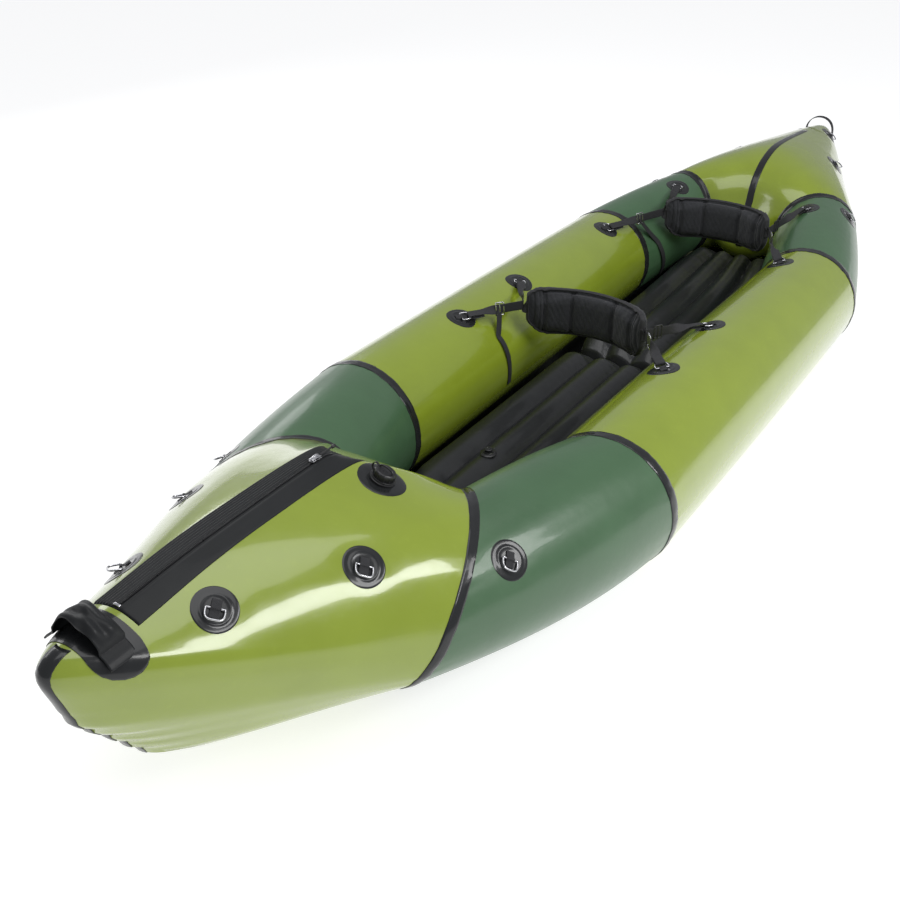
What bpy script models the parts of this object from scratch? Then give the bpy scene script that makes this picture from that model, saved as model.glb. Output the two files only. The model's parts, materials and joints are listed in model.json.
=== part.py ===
"""A two-person inflatable packraft, in metres: bow at -Y, port side at +X, +Z up, resting on z = 0.

The hull is built as the real one is: open-ended skins of coated fabric, butted end to end and
joined by black seam tapes, round one pair of side tubes that meet in a bow piece and a stern piece.
"""

import math

import bmesh
import bpy
from mathutils import Matrix, Vector
from mathutils.bvhtree import BVHTree
from mathutils.geometry import closest_point_on_tri

# Clearances and counts
GAP = 0.0003
SKIN = 0.0015
MERGE = 0.0001
CUT_SNAP = 0.000001
PROBE_REACH = 1.0
PROBE_SHARES = (0.5, 1.0)
RING_SIDES = 28
QUADRANT = RING_SIDES // 4

# Side tubes: radius and distance from the centre line at the front and rear seams
TUBE_RADIUS_FRONT = 0.150
TUBE_RADIUS_REAR = 0.142
TUBE_OFFSET_FRONT = 0.306
TUBE_OFFSET_REAR = 0.3135
SEAM_STATION = 0.632
TUBE_BULGE = 0.003
TUBE_STEPS = 1

# Dark panels: the runs that turn in towards the bow and the stern
BOW_RUN_OFFSET = 0.188
BOW_RUN_STATION = 1.150
BOW_RUN_HEIGHT = 0.186
BOW_RUN_RADIUS = 0.140
BOW_SEAM_RUN_SHARE = 0.925
BOW_SEAM_FACING_SHARES = (-0.703, -0.511, 0.496)
BOW_SEAM_RISE = 0.035
STERN_RUN_OFFSET = 0.187
STERN_RUN_STATION = 1.150
STERN_RUN_HEIGHT = 0.221
STERN_RUN_RADIUS = 0.107
STERN_SEAM_RISE = -0.020
STERN_SEAM_RUN_SHARE = 0.741
STERN_SEAM_FACING_SHARES = (-0.422, 0.909, -0.048)
PANEL_BULGE = 0.006
PANEL_LOW_BULGE = 0.022
PANEL_STEPS = 1

# Bow and stern pieces: reach of the tip, place of the cockpit end wall, height of the deck ridge
BOW_REACH = 1.768
BOW_WALL_STATION = 0.905
BOW_DECK_HEIGHT = 0.424
BOW_BULGE = 0.011
BOW_LOW_BULGE = -0.006
STERN_REACH = 1.763
STERN_WALL_STATION = 0.960
STERN_DECK_HEIGHT = 0.397
STERN_BULGE = 0.008
STERN_LOW_BULGE = -0.008
END_SHARES = (0.76, 0.53, 0.32, 0.15, 0.05)
# How round the hull is across the centre line: at the tip, the ridge, the end wall and the keel
BOW_ROUND_SHARES = (0.12, 0.35, 0.90, 0.40)
STERN_ROUND_SHARES = (0.10, 0.30, 0.90, 0.40)

# Centre-line outlines, as shares of (wall to tip, floor to ridge): tip, ridge, wall, keel, and back
BOW_OUTLINE_SHARES = (
    (1.000, 0.895), (0.973, 0.950), (0.926, 0.958), (0.820, 0.966), (0.680, 0.984),
    (0.529, 0.990), (0.291, 0.986), (0.227, 0.931), (0.134, 0.826), (0.052, 0.684),
    (0.000, 0.470), (0.017, 0.240), (0.087, 0.140), (0.285, 0.125), (0.517, 0.143),
    (0.692, 0.195), (0.824, 0.305), (0.884, 0.445), (0.925, 0.550), (0.962, 0.645),
    (0.983, 0.765),
)
BOW_CORNER_COUNTS = (0, 5, 10, 14)
STERN_OUTLINE_SHARES = (
    (1.000, 0.756), (0.984, 0.839), (0.919, 0.887), (0.795, 0.922), (0.601, 0.960),
    (0.422, 0.990), (0.286, 0.992), (0.178, 0.942), (0.112, 0.861), (0.075, 0.768),
    (0.055, 0.660), (0.019, 0.479), (0.000, 0.327), (0.031, 0.214), (0.099, 0.176),
    (0.285, 0.161), (0.538, 0.179), (0.728, 0.233), (0.867, 0.327), (0.956, 0.504),
    (0.994, 0.655),
)
STERN_CORNER_COUNTS = (0, 6, 12, 16)
OUTLINE_STEPS = 12


def bow_station(share):
    """A station on the bow piece, a share of the way from its end wall to its tip."""
    return -(BOW_WALL_STATION + (BOW_REACH - BOW_WALL_STATION) * share)


def stern_station(share):
    """A station on the stern piece, a share of the way from its end wall to its tip."""
    return STERN_WALL_STATION + (STERN_REACH - STERN_WALL_STATION) * share


# Seam tapes
TAPE_HALF_WIDTH = 0.0125
TAPE_THICKNESS = 0.0008
TAPE_LIFT = 0.0004
# The tubes lie this much above the ground, on the tapes under them
GROUND = TAPE_THICKNESS + TAPE_LIFT
STEM_TAPE_HALF_WIDTH = 0.012
STEM_TAPE_TOP_SHARES = (0.9536, 0.9528)
STEM_TAPE_TOP = (
    bow_station(STEM_TAPE_TOP_SHARES[0]), BOW_DECK_HEIGHT * STEM_TAPE_TOP_SHARES[1]
)
STEM_TAPE_TILT = math.radians(35)
STEM_TAPE_FOOT_SHARE = 0.6895
STEM_TAPE_FOOT_STATION = bow_station(STEM_TAPE_FOOT_SHARE)
STERN_TAPE_HALF_WIDTH = 0.011
STERN_TAPE_END_SHARE = 0.6974
STERN_TAPE_END_STATION = stern_station(STERN_TAPE_END_SHARE)
STERN_TAPE_FOOT_HEIGHT = 0.130

# Round anchor patches, their webbing tabs and D-rings
PATCH_RADIUS = 0.037
PATCH_SIDES = 12
PATCH_HEIGHT = 0.0008
TAB_WIDTH = 0.016
TAB_THICKNESS = 0.0012
TAB_STEPS = 4
RING_WIRE_RADIUS = 0.00175
RING_HALF_WIDTH = 0.0150
RING_DEPTH = 0.0210
RING_PLAY = 0.0004
RING_ARC_STEPS = 8
RING_SQUARE_SHARE = 0.5
WIRE_SIDES = 6
PORT_RING_LIFT = math.radians(12)
STARBOARD_RING_LIFT = math.radians(28)
SEAT_RING_LIFT = math.radians(10)
# The way the flank rings point on the port side of the stern: out, aft and down
FLANK_RING_DIRECTION = (0.5, 1.0, -0.6)

# Anchor places: distance from the centre line and station, counted aft, and the skin it is on
BOW_ANCHOR_SHARES = (0.7207, 0.4519)
STERN_ANCHOR_SHARES = (0.4782, 0.8468)
FLANK_ANCHORS = {
    "bow_forward": (0.095, bow_station(BOW_ANCHOR_SHARES[0]), "bow_skin"),
    "bow_middle": (0.191, bow_station(BOW_ANCHOR_SHARES[1]), "bow_skin"),
    "bow_aft": (0.322, -1.060, "front_panel"),
    "stern_forward": (0.315, 0.990, "rear_panel"),
    "stern_middle": (0.162, stern_station(STERN_ANCHOR_SHARES[0]), "stern_skin"),
    "stern_aft": (0.055, stern_station(STERN_ANCHOR_SHARES[1]), "stern_skin"),
}
SEAT_ANCHORS = {
    "front_seat_forward": (0.2635, -0.279, "mid_tube"),
    "front_seat_aft": (0.2616, 0.003, "mid_tube"),
    "rear_seat_forward": (0.2616, 0.518, "mid_tube"),
    "rear_seat_aft": (0.2054, 0.915, "rear_panel"),
}

# Deck zip, on the bow's ridge
ZIP_HALF_WIDTH = 0.046
ZIP_END_SHARES = (0.8378, 0.2121)
ZIP_FRONT_STATION = bow_station(ZIP_END_SHARES[0])
ZIP_REAR_STATION = bow_station(ZIP_END_SHARES[1])
ZIP_THICKNESS = 0.0012
CHAIN_HALF_WIDTH = 0.006
CHAIN_THICKNESS = 0.0030
CHAIN_FOOT_SHARE = 1.08
SLIDER_LENGTH = 0.022
SLIDER_WIDTH = 0.013
SLIDER_HEIGHT = 0.006
SLIDER_STATION_SHARE = 0.3071
SLIDER_STATION = bow_station(SLIDER_STATION_SHARE)
SLIDER_TRAVEL = 0.100
SLIDER_PROBES = 12
SLIDER_EDGE_SHARE = 0.2
PULL_LENGTH = 0.042
PULL_RADIUS = 0.0020
PULL_SIDES = 8
# The rounded end by the slider, as shares of the radius: out from the axis, and along it
PULL_END_SHARES = ((0.45, -0.95), (0.85, -0.55), (1.0, 0.0))

# Main inflation valve, on the slope behind the ridge's inner end
VALVE_STATION_SHARE = 0.2375
VALVE_PLACE = (0.095, bow_station(VALVE_STATION_SHARE))
VALVE_PATCH_RADIUS = 0.045
VALVE_FLANGE_RADIUS = 0.024
VALVE_FLANGE_HEIGHT = 0.003
VALVE_BODY_RADIUS = 0.0175
VALVE_BODY_HEIGHT = 0.016
VALVE_CAP_RADIUS = 0.0190
VALVE_CAP_HEIGHT = 0.015
VALVE_CAP_LUG = 0.0015
VALVE_CAP_EDGE_SHARES = (0.90, 0.85)
VALVE_SIDES = 16

# Bow handle: a wide webbing arch on a saddle patch across the nose
HANDLE_STATION_SHARE = 0.8957
HANDLE_STATION = bow_station(HANDLE_STATION_SHARE)
HANDLE_ROOT = 0.045
HANDLE_RISE = 0.032
HANDLE_FOOT = 0.045
HANDLE_WIDTH = 0.050
HANDLE_CLEARANCE = 0.0030
WEBBING_THICKNESS = 0.0022
SADDLE_RADIUS = 0.040
SADDLE_HEIGHT_SHARE = 0.9245
SADDLE_HEIGHT = BOW_DECK_HEIGHT * SADDLE_HEIGHT_SHARE
SADDLE_SIDES = 14

# Stern handle: a narrow webbing loop over the tip
STERN_HANDLE_STATION_SHARE = 0.9116
STERN_HANDLE_STATION = stern_station(STERN_HANDLE_STATION_SHARE)
STERN_HANDLE_ROOT = 0.044
STERN_HANDLE_TOP_SHARE = 0.9622
STERN_HANDLE_TOP = STERN_DECK_HEIGHT * STERN_HANDLE_TOP_SHARE
STERN_HANDLE_FOOT = 0.024
STERN_HANDLE_WIDTH = 0.020
STERN_HANDLE_CLEARANCE = 0.0012
ARCH_STEPS = 10
ARCH_SQUARE_SHARE = 0.8
FOOT_STEPS = 6
BAND_SHARES = (-0.5, -0.25, 0.0, 0.25, 0.5)

# Floor: the bottom sheet and two mats with lengthwise chambers
SHEET_THICKNESS = 0.003
SHEET_STATIONS = 14
SHEET_PROBES = 24
SHEET_FRONT_STATION = -0.960
SHEET_REAR_STATION = 0.965
SHEET_CLEARANCE = 0.0123
MAT_HEIGHT = 0.095
MAT_CLEARANCE = 0.004
MAT_CHAMBERS = 4
MAT_CHAMBER_STEPS = 4
MAT_CREASE = 0.020
MAT_HALF_WIDTH = 0.160
MAT_STATIONS = 10
MAT_END_SHARE = 0.55
MAT_END_ROUND = 0.070
MAT_END_HEIGHT_SHARE = 0.35
MAT_END_WIDTH_SHARE = 0.86
MAT_PROBE_SHARES = (0.25, 0.55, 0.85, 1.0)
MAT_FLANK_SHARES = ((0.93, 0.0), (1.0, 0.35), (1.0, 0.62))
MAT_CROWN_SHARE = 0.7
FRONT_MAT_ENDS = (-0.855, 0.125)
REAR_MAT_ENDS = (0.150, 0.950)
FLOOR_VALVE_PLACE = (-0.040, -0.520)
FLOOR_VALVE_RADIUS = 0.011
FLOOR_VALVE_HEIGHT = 0.010
# The floor valve's outline, as shares of (radius, height)
FLOOR_VALVE_SHARES = ((1.0, 0.0), (1.0, 0.3), (0.7, 0.4), (0.7, 1.0))

# Backrests: padded, curved round the paddler's back, held at both ends
PAD_HALF_WIDTH = 0.156
PAD_DEPTH = 0.075
PAD_ARC = math.radians(62)
PAD_HEIGHT = 0.132
PAD_DROP = 0.020
PAD_END_HEIGHT_SHARE = 0.55
PAD_THICKNESS = 0.030
PAD_CHANNEL_DEPTH = 0.006
PAD_CHANNEL_WIDTH_SHARE = 0.07
PAD_CHANNEL_SHARES = (-0.72, -0.32, 0.32, 0.72)
PAD_STATIONS = 8
# A pad's section, as shares of (half its thickness, half its height), from the top edge forward
PAD_SECTION_SHARES = (
    (0.00, 1.00), (0.35, 0.99), (0.80, 0.90), (1.00, 0.55), (1.08, 0.00), (1.00, -0.55),
    (0.80, -0.90), (0.35, -0.99), (0.00, -1.00), (-0.35, -0.98), (-0.75, -0.85),
    (-0.80, 0.00), (-0.75, 0.85), (-0.35, 0.98),
)
PAD_END_START_SHARE = 0.72
PAD_END_THIN_SHARE = 0.38
PAD_END_CURVE = 1.6
PAD_TIP_LENGTH = 0.005
PAD_TIP_SHARE = 0.3
PAD_END_DROP_SHARE = 0.2
FRONT_PAD_STATION = -0.152
FRONT_PAD_HEIGHT = 0.300
REAR_PAD_STATION = 0.705
REAR_PAD_HEIGHT = 0.290
PAD_PLAY = 0.0013

# Seat webbing
WEB_WIDTH = 0.024
WEB_END_WIDTH = 0.016
WEB_THICKNESS = 0.0015
WEB_TWIST_STEPS = 4
WEB_CURL_STEPS = 6
WEB_CURL_PLAY = 0.0014
WEB_CURL_END_SHARES = (6.0, 4.0)

LIGHT_GREEN = (0.270, 0.380, 0.030, 1.0)
DARK_GREEN = (0.060, 0.125, 0.055, 1.0)
TAPE_BLACK = (0.018, 0.019, 0.020, 1.0)
WEBBING_BLACK = (0.022, 0.022, 0.024, 1.0)
PAD_BLACK = (0.020, 0.021, 0.023, 1.0)
MAT_BLACK = (0.026, 0.027, 0.030, 1.0)
PLASTIC_BLACK = (0.015, 0.015, 0.016, 1.0)
STEEL = (0.620, 0.620, 0.640, 1.0)

UP = Vector((0, 0, 1))


def make_material(name, colour, roughness, metallic=0.0):
    """One Principled material."""
    material = bpy.data.materials.new(name)
    material.use_nodes = True
    shader = material.node_tree.nodes["Principled BSDF"]
    shader.inputs["Base Color"].default_value = colour
    shader.inputs["Roughness"].default_value = roughness
    shader.inputs["Metallic"].default_value = metallic
    material.diffuse_color = colour
    return material


def clear_scene():
    for obj in list(bpy.data.objects):
        bpy.data.objects.remove(obj, do_unlink=True)


def smooth(mesh):
    mesh.shade_smooth()
    mesh.set_sharp_from_angle(angle=math.radians(35))


def link(name, mesh, material, frame=None):
    mesh.materials.append(material)
    obj = bpy.data.objects.new(name, mesh)
    bpy.context.collection.objects.link(obj)
    if frame is not None:
        obj.matrix_world = frame
    return obj


def place(name, bm, material, frame=None):
    """A bmesh made into a named object. Its frame, if given, is the object's own place."""
    bmesh.ops.recalc_face_normals(bm, faces=bm.faces)
    mesh = bpy.data.meshes.new(name)
    bm.to_mesh(mesh)
    bm.free()
    smooth(mesh)
    return link(name, mesh, material, frame)


def mirrored(point):
    return Vector((-point.x, point.y, point.z))


def between(first, second, share):
    return [a.lerp(b, share) for a, b in zip(first, second)]


def middle(loop):
    return sum(loop, Vector()) / len(loop)


# Hull outline loops. Point 0 of a loop faces outboard, then the loop climbs over the top to the
# inboard side and returns underneath. A half step puts a flat facet, not an edge, on the ground.


def ring_angle(index):
    return (index + 0.5) * math.tau / RING_SIDES


def apothem(radius):
    return radius * math.cos(math.pi / RING_SIDES)


class Run:
    """A tapering tube from one centre and radius to another, on the port side."""

    def __init__(self, start, start_radius, end, end_radius):
        self.start = Vector(start)
        self.along = Vector(end) - self.start
        self.length = self.along.length
        self.along.normalize()
        self.radius = start_radius
        self.taper = (end_radius - start_radius) / self.length
        self.across = self.along.cross(UP).normalized()
        if self.across.x < 0:
            self.across.negate()
        self.up = self.across.cross(self.along).normalized()
        if self.up.z < 0:
            self.up.negate()

    def at(self, share):
        return self.start + self.along * (self.length * share)

    def cut(self, place_on, facing):
        """The loop where the tube meets a plane."""
        loop = []
        for index in range(RING_SIDES):
            angle = ring_angle(index)
            spoke = self.across * math.cos(angle) + self.up * math.sin(angle)
            reach = (place_on - self.start).dot(facing) - self.radius * spoke.dot(facing)
            reach /= self.along.dot(facing) + self.taper * spoke.dot(facing)
            radius = self.radius + self.taper * reach
            loop.append(self.start + self.along * reach + spoke * radius)
        return loop


def seam_ring(offset, radius, station):
    """The upright circle at a seam between a mid tube and a dark panel."""
    centre = Vector((offset, station, GROUND + apothem(radius)))
    loop = []
    for index in range(RING_SIDES):
        angle = ring_angle(index)
        loop.append(centre + Vector((math.cos(angle), 0, math.sin(angle))) * radius)
    return loop


def smooth_point(points, index, share):
    """A point of the closed smooth curve through the given points."""
    count = len(points)
    a, b, c, d = (points[(index + k) % count] for k in (-1, 0, 1, 2))
    cubic = (b * 3 - a - c * 3 + d) * share**3
    square = (a * 2 - b * 5 + c * 4 - d) * share**2
    return (b * 2 + (c - a) * share + square + cubic) * 0.5


def centre_loop(outline, corners, wall, reach, height):
    """The closed outline on the centre line, with a quarter of the ring's points between corners."""
    points = [Vector((0, wall + (reach - wall) * along, height * up)) for along, up in outline]
    loop = []
    ends = list(corners[1:]) + [len(points)]
    for first, last in zip(corners, ends):
        trail = []
        for index in range(first, last):
            trail += [smooth_point(points, index, k / OUTLINE_STEPS) for k in range(OUTLINE_STEPS)]
        trail.append(smooth_point(points, last, 0))
        lengths = [0.0]
        for a, b in zip(trail, trail[1:]):
            lengths.append(lengths[-1] + (b - a).length)
        for step in range(QUADRANT):
            want = lengths[-1] * (step + 0.5) / QUADRANT
            index = next(i for i, length in enumerate(lengths) if length >= want)
            share = (want - lengths[index - 1]) / (lengths[index] - lengths[index - 1])
            loop.append(trail[index - 1].lerp(trail[index], share))
    return loop


def low_weight(angle):
    """1 at the outboard lower side of a tube, falling to 0 a quarter turn away."""
    return max(0.0, math.cos(angle + math.radians(45)))


def swollen(first, last, steps, bulge, low_bulge=0.0):
    """Loops between two loops, swollen outwards as an inflated panel is between its seams."""
    loops = []
    for step in range(1, steps + 1):
        share = step / (steps + 1)
        loop = between(first, last, share)
        core = middle(loop)
        full = 4 * share * (1 - share)
        for index, point in enumerate(loop):
            angle = ring_angle(index)
            swell = bulge * (1 + math.sin(angle)) / 2 + low_bulge * low_weight(angle)
            point = point + (point - core).normalized() * (swell * full)
            loop[index] = Vector((point.x, point.y, max(point.z, GROUND)))
        loops.append(loop)
    return loops


def corner_blend(values, angle):
    """A value for an angle, from the values at the outboard, top, inboard and bottom sides."""
    turn = (angle % math.tau) / (math.tau / 4)
    first = int(turn) % 4
    share = (1 - math.cos((turn - int(turn)) * math.pi)) / 2
    return values[first] * (1 - share) + values[(first + 1) % 4] * share


def rounded_rise(share, softness):
    """0 at 0 and 1 at 1: level at first, then straight."""
    return (math.hypot(share, softness) - softness) / (math.hypot(1, softness) - softness)


def end_loops(seam, centre, roundness, bulge, low_bulge):
    """Loops from a seam to the centre line, level as they cross it.

    The swell grows smoothly from nothing on the centre line; 27 / 4 brings its peak to 1.
    """
    loops = []
    for share in END_SHARES:
        loop = []
        core = middle(seam).lerp(middle(centre), 1 - share)
        for index, (a, b) in enumerate(zip(seam, centre)):
            angle = ring_angle(index)
            rise = rounded_rise(share, corner_blend(roundness, angle))
            point = Vector((a.x * share, b.y + (a.y - b.y) * rise, b.z + (a.z - b.z) * rise))
            swell = bulge + (low_bulge - bulge) * low_weight(angle)
            swell *= 27 / 4 * share * share * (1 - share)
            loop.append(point + (point - core).normalized() * swell)
        loops.append(loop)
    return loops


def nudged(loop, towards, distance):
    """A loop moved along its panel by a distance."""
    return [a + (b - a).normalized() * distance for a, b in zip(loop, towards)]


def strip_mesh(loops, turn=None):
    """The open surface through a list of loops, in triangles that face away from its middle.

    turn -- the loop from which on the triangles mirror the ones before it
    """
    bm = bmesh.new()
    rows = [[bm.verts.new(point) for point in loop] for loop in loops]
    for number, (row, after) in enumerate(zip(rows, rows[1:])):
        for i in range(RING_SIDES):
            j = (i + 1) % RING_SIDES
            if turn is None or number < turn:
                bm.faces.new((row[i], row[j], after[j]))
                bm.faces.new((row[i], after[j], after[i]))
            else:
                bm.faces.new((row[i], row[j], after[i]))
                bm.faces.new((row[j], after[j], after[i]))
    bm.normal_update()
    outward = 0.0
    for index, (row, after) in enumerate(zip(rows, rows[1:])):
        core = (middle(loops[index]) + middle(loops[index + 1])) / 2
        for face in row[0].link_faces:
            if after[0] in face.verts or after[1] in face.verts:
                outward += (face.calc_center_median() - core).dot(face.normal)
    if outward < 0:
        bmesh.ops.reverse_faces(bm, faces=bm.faces)
    bm.normal_update()
    return bm


class Hull:
    """All the outline loops of the port side, and the centre loops, worked out once."""

    def __init__(self):
        bow_run = Run(
            (TUBE_OFFSET_FRONT, -SEAM_STATION, GROUND + apothem(TUBE_RADIUS_FRONT)),
            TUBE_RADIUS_FRONT,
            (BOW_RUN_OFFSET, -BOW_RUN_STATION, BOW_RUN_HEIGHT), BOW_RUN_RADIUS,
        )
        stern_run = Run(
            (TUBE_OFFSET_REAR, SEAM_STATION, GROUND + apothem(TUBE_RADIUS_REAR)),
            TUBE_RADIUS_REAR,
            (STERN_RUN_OFFSET, STERN_RUN_STATION, STERN_RUN_HEIGHT), STERN_RUN_RADIUS,
        )
        self.front = seam_ring(TUBE_OFFSET_FRONT, TUBE_RADIUS_FRONT, -SEAM_STATION)
        self.rear = seam_ring(TUBE_OFFSET_REAR, TUBE_RADIUS_REAR, SEAM_STATION)
        bow_facing = Vector(BOW_SEAM_FACING_SHARES).normalized()
        stern_facing = Vector(STERN_SEAM_FACING_SHARES).normalized()
        self.bow = bow_run.cut(bow_run.at(BOW_SEAM_RUN_SHARE), bow_facing)
        for index, point in enumerate(self.bow):
            point.z += BOW_SEAM_RISE * max(0.0, -math.sin(ring_angle(index)))
        self.stern = stern_run.cut(stern_run.at(STERN_SEAM_RUN_SHARE), stern_facing)
        for index, point in enumerate(self.stern):
            point.z += STERN_SEAM_RISE * max(0.0, -math.sin(ring_angle(index)))
        self.bow_centre = centre_loop(
            BOW_OUTLINE_SHARES, BOW_CORNER_COUNTS, -BOW_WALL_STATION, -BOW_REACH, BOW_DECK_HEIGHT
        )
        self.stern_centre = centre_loop(
            STERN_OUTLINE_SHARES, STERN_CORNER_COUNTS,
            STERN_WALL_STATION, STERN_REACH, STERN_DECK_HEIGHT,
        )
        self.mid_inner = swollen(self.front, self.rear, TUBE_STEPS, TUBE_BULGE, TUBE_BULGE)
        self.front_inner = swollen(
            self.front, self.bow, PANEL_STEPS, PANEL_BULGE, PANEL_LOW_BULGE
        )
        self.rear_inner = swollen(self.rear, self.stern, PANEL_STEPS, PANEL_BULGE, PANEL_BULGE)
        self.bow_inner = end_loops(
            self.bow, self.bow_centre, BOW_ROUND_SHARES, BOW_BULGE, BOW_LOW_BULGE
        )
        self.stern_inner = end_loops(
            self.stern, self.stern_centre, STERN_ROUND_SHARES, STERN_BULGE, STERN_LOW_BULGE
        )

        self.front_rim = seam_facings(self.mid_inner[0], self.front, self.front_inner[0])
        self.rear_rim = seam_facings(self.mid_inner[-1], self.rear, self.rear_inner[0])
        self.bow_rim = seam_facings(self.front_inner[-1], self.bow, self.bow_inner[0])
        self.stern_rim = seam_facings(self.rear_inner[-1], self.stern, self.stern_inner[0])

    def seam_start(self, seam, inner):
        """The first loops of a skin: half a gap from the seam, and the tape's edge."""
        return [nudged(seam, inner, GAP / 2), nudged(seam, inner, TAPE_HALF_WIDTH)]

    def tube(self, first, inner, last):
        """A skin's loops from seam to seam."""
        start = self.seam_start(first, inner[0])
        end = self.seam_start(last, inner[-1])
        return start + inner + list(reversed(end))

    def end_piece(self, seam, inner, centre):
        """The loops of the bow or stern skin, from the port seam round to the starboard one."""
        port = self.seam_start(seam, inner[0]) + inner + [centre]
        return port + [[mirrored(p) for p in loop] for loop in reversed(port[:-1])]


class Skin:
    """An open-ended skin, its outer face on its loops, and that face for placing pieces on it."""

    def __init__(self, name, loops, rims, turn, material, patch_material):
        self.name = name
        self.surface = strip_mesh(loops, turn)
        self.tree = BVHTree.FromBMesh(self.surface)
        self.solid = self.surface.copy()
        self.number = self.solid.faces.layers.int.new("number")
        verts = list(self.solid.verts)
        facing = dict(zip(verts[:RING_SIDES], rims[0]))
        facing.update(zip(verts[-RING_SIDES:], rims[1]))
        for face in thicken(self.solid, -SKIN, SKIN, facing=facing):
            face[self.number] = 1
        self.obj = link(name, bpy.data.meshes.new(name), material)
        self.obj.data.materials.append(patch_material)

    def rise(self, frame, radius):
        """How far the skin rises above a frame's XY plane within a circle."""
        turn = frame.to_3x3()
        out = turn @ UP
        most = 0.0
        for share in PROBE_SHARES:
            for index in range(PATCH_SIDES):
                angle = math.tau * index / PATCH_SIDES
                spoke = turn @ Vector((math.cos(angle), math.sin(angle), 0))
                start = frame.translation + spoke * (radius * share) + out * radius
                hit = self.tree.ray_cast(start, -out, radius * 2)[0]
                if hit is not None:
                    most = max(most, (hit - frame.translation).dot(out))
        return most

    def raise_patch(self, frame):
        """Raises a round patch out of the outer face, whose faces all have a number above 0."""
        centre = frame.translation
        planes = round_planes(frame, PATCH_RADIUS, PATCH_SIDES)[:-1]
        near = []
        for number, face in enumerate(self.solid.faces):
            if face[self.number]:
                face[self.number] = number + 1
                spot = closest_point_on_tri(centre, *(v.co for v in face.verts))
                if (spot - centre).length * math.cos(math.pi / PATCH_SIDES) < PATCH_RADIUS:
                    near.append(face)
        for point, outward in planes:
            parts = {v for f in near for v in f.verts} | {e for f in near for e in f.edges}
            cut = bmesh.ops.bisect_plane(
                self.solid, geom=near + list(parts), plane_co=point, plane_no=outward, dist=MERGE
            )
            near = [part for part in cut["geom"] if isinstance(part, bmesh.types.BMFace)]
        for face in near:
            where = face.calc_center_median()
            if all((where - point).dot(outward) < 0 for point, outward in planes):
                face.material_index = 1
        self.tidy_cuts({e for f in near for e in f.edges})
        inside = [f for f in self.solid.faces if f.material_index == 1 and f[self.number]]
        self.solid.normal_update()
        raised = bmesh.ops.extrude_face_region(self.solid, geom=inside)["geom"]
        top = {part for part in raised if isinstance(part, bmesh.types.BMFace)}
        lifts = {}
        for vert in {v for f in top for v in f.verts}:
            facing = sum((f.normal for f in vert.link_faces if f in top), Vector())
            lifts[vert] = facing.normalized() * PATCH_HEIGHT
            for face in vert.link_faces:
                face.material_index = 1
                face[self.number] = 0
        for vert, lift in lifts.items():
            vert.co += lift
        left = [f for f in inside if f.is_valid]
        bmesh.ops.delete(self.solid, geom=left, context="FACES")
        bmesh.ops.triangulate(self.solid, faces=[f for f in self.solid.faces if len(f.verts) > 3])

    def tidy_cuts(self, edges):
        """Joins again what was cut apart and isn't a patch's outline."""
        spare = []
        for edge in edges:
            if len(edge.link_faces) == 2:
                first, second = edge.link_faces
                same = first[self.number] == second[self.number]
                if same and first.material_index == second.material_index:
                    spare.append(edge)
        ends = {v for e in spare for v in e.verts}
        bmesh.ops.dissolve_edges(self.solid, edges=spare)
        straight = []
        for vert in (v for v in ends if v.is_valid and len(v.link_edges) == 2):
            first, second = (e.other_vert(vert).co - vert.co for e in vert.link_edges)
            if first.angle(-second) < math.radians(1):
                straight.append(vert)
        bmesh.ops.dissolve_verts(self.solid, verts=straight)

    def finish(self):
        """Puts the finished solid on the object."""
        self.solid.faces.layers.int.remove(self.number)
        self.solid.to_mesh(self.obj.data)
        smooth(self.obj.data)
        step = self.obj.modifiers.new("close", "WELD")
        step.merge_threshold = MERGE
        self.solid.free()
        self.surface.free()

    def point_below(self, x, y):
        """The top of the skin at a place in plan, and which way it faces."""
        hit, normal, _, _ = self.tree.ray_cast(Vector((x, y, PROBE_REACH)), -UP)
        if hit is None:
            raise ValueError(f"{self.name} has no surface at {x:.3f}, {y:.3f}")
        return hit, normal if normal.z > 0 else -normal

    def frame_at(self, x, y, toward):
        """A frame on the skin: Z out of it, Y along it towards a direction."""
        hit, normal = self.point_below(x, y)
        aim = (toward - normal * toward.dot(normal)).normalized()
        frame = Matrix((aim.cross(normal), aim, normal)).transposed().to_4x4()
        frame.translation = hit
        return frame

    def cutting(self, planes, lift, thickness, cuts=(), thicker=None):
        """A piece cut out of the skin's face and thickened, so that it lies on the facets.

        planes -- (point, way out) pairs; what lies outside any of them is dropped
        cuts -- planes that only add edges, where the thickness changes
        thicker -- a function of a point that gives the thickness there
        """
        bm = self.surface.copy()
        for point, outward in planes:
            bisect(bm, point, outward, True)
        if not bm.faces:
            raise ValueError(f"a piece misses {self.name}")
        for point, outward in cuts:
            bisect(bm, point, outward, False)
        thicken(bm, lift, thickness, thicker)
        return bm


def bisect(bm, point, outward, clear):
    everything = bm.verts[:] + bm.edges[:] + bm.faces[:]
    bmesh.ops.bisect_plane(
        bm, geom=everything, plane_co=point, plane_no=outward, dist=CUT_SNAP, clear_outer=clear
    )


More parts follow.
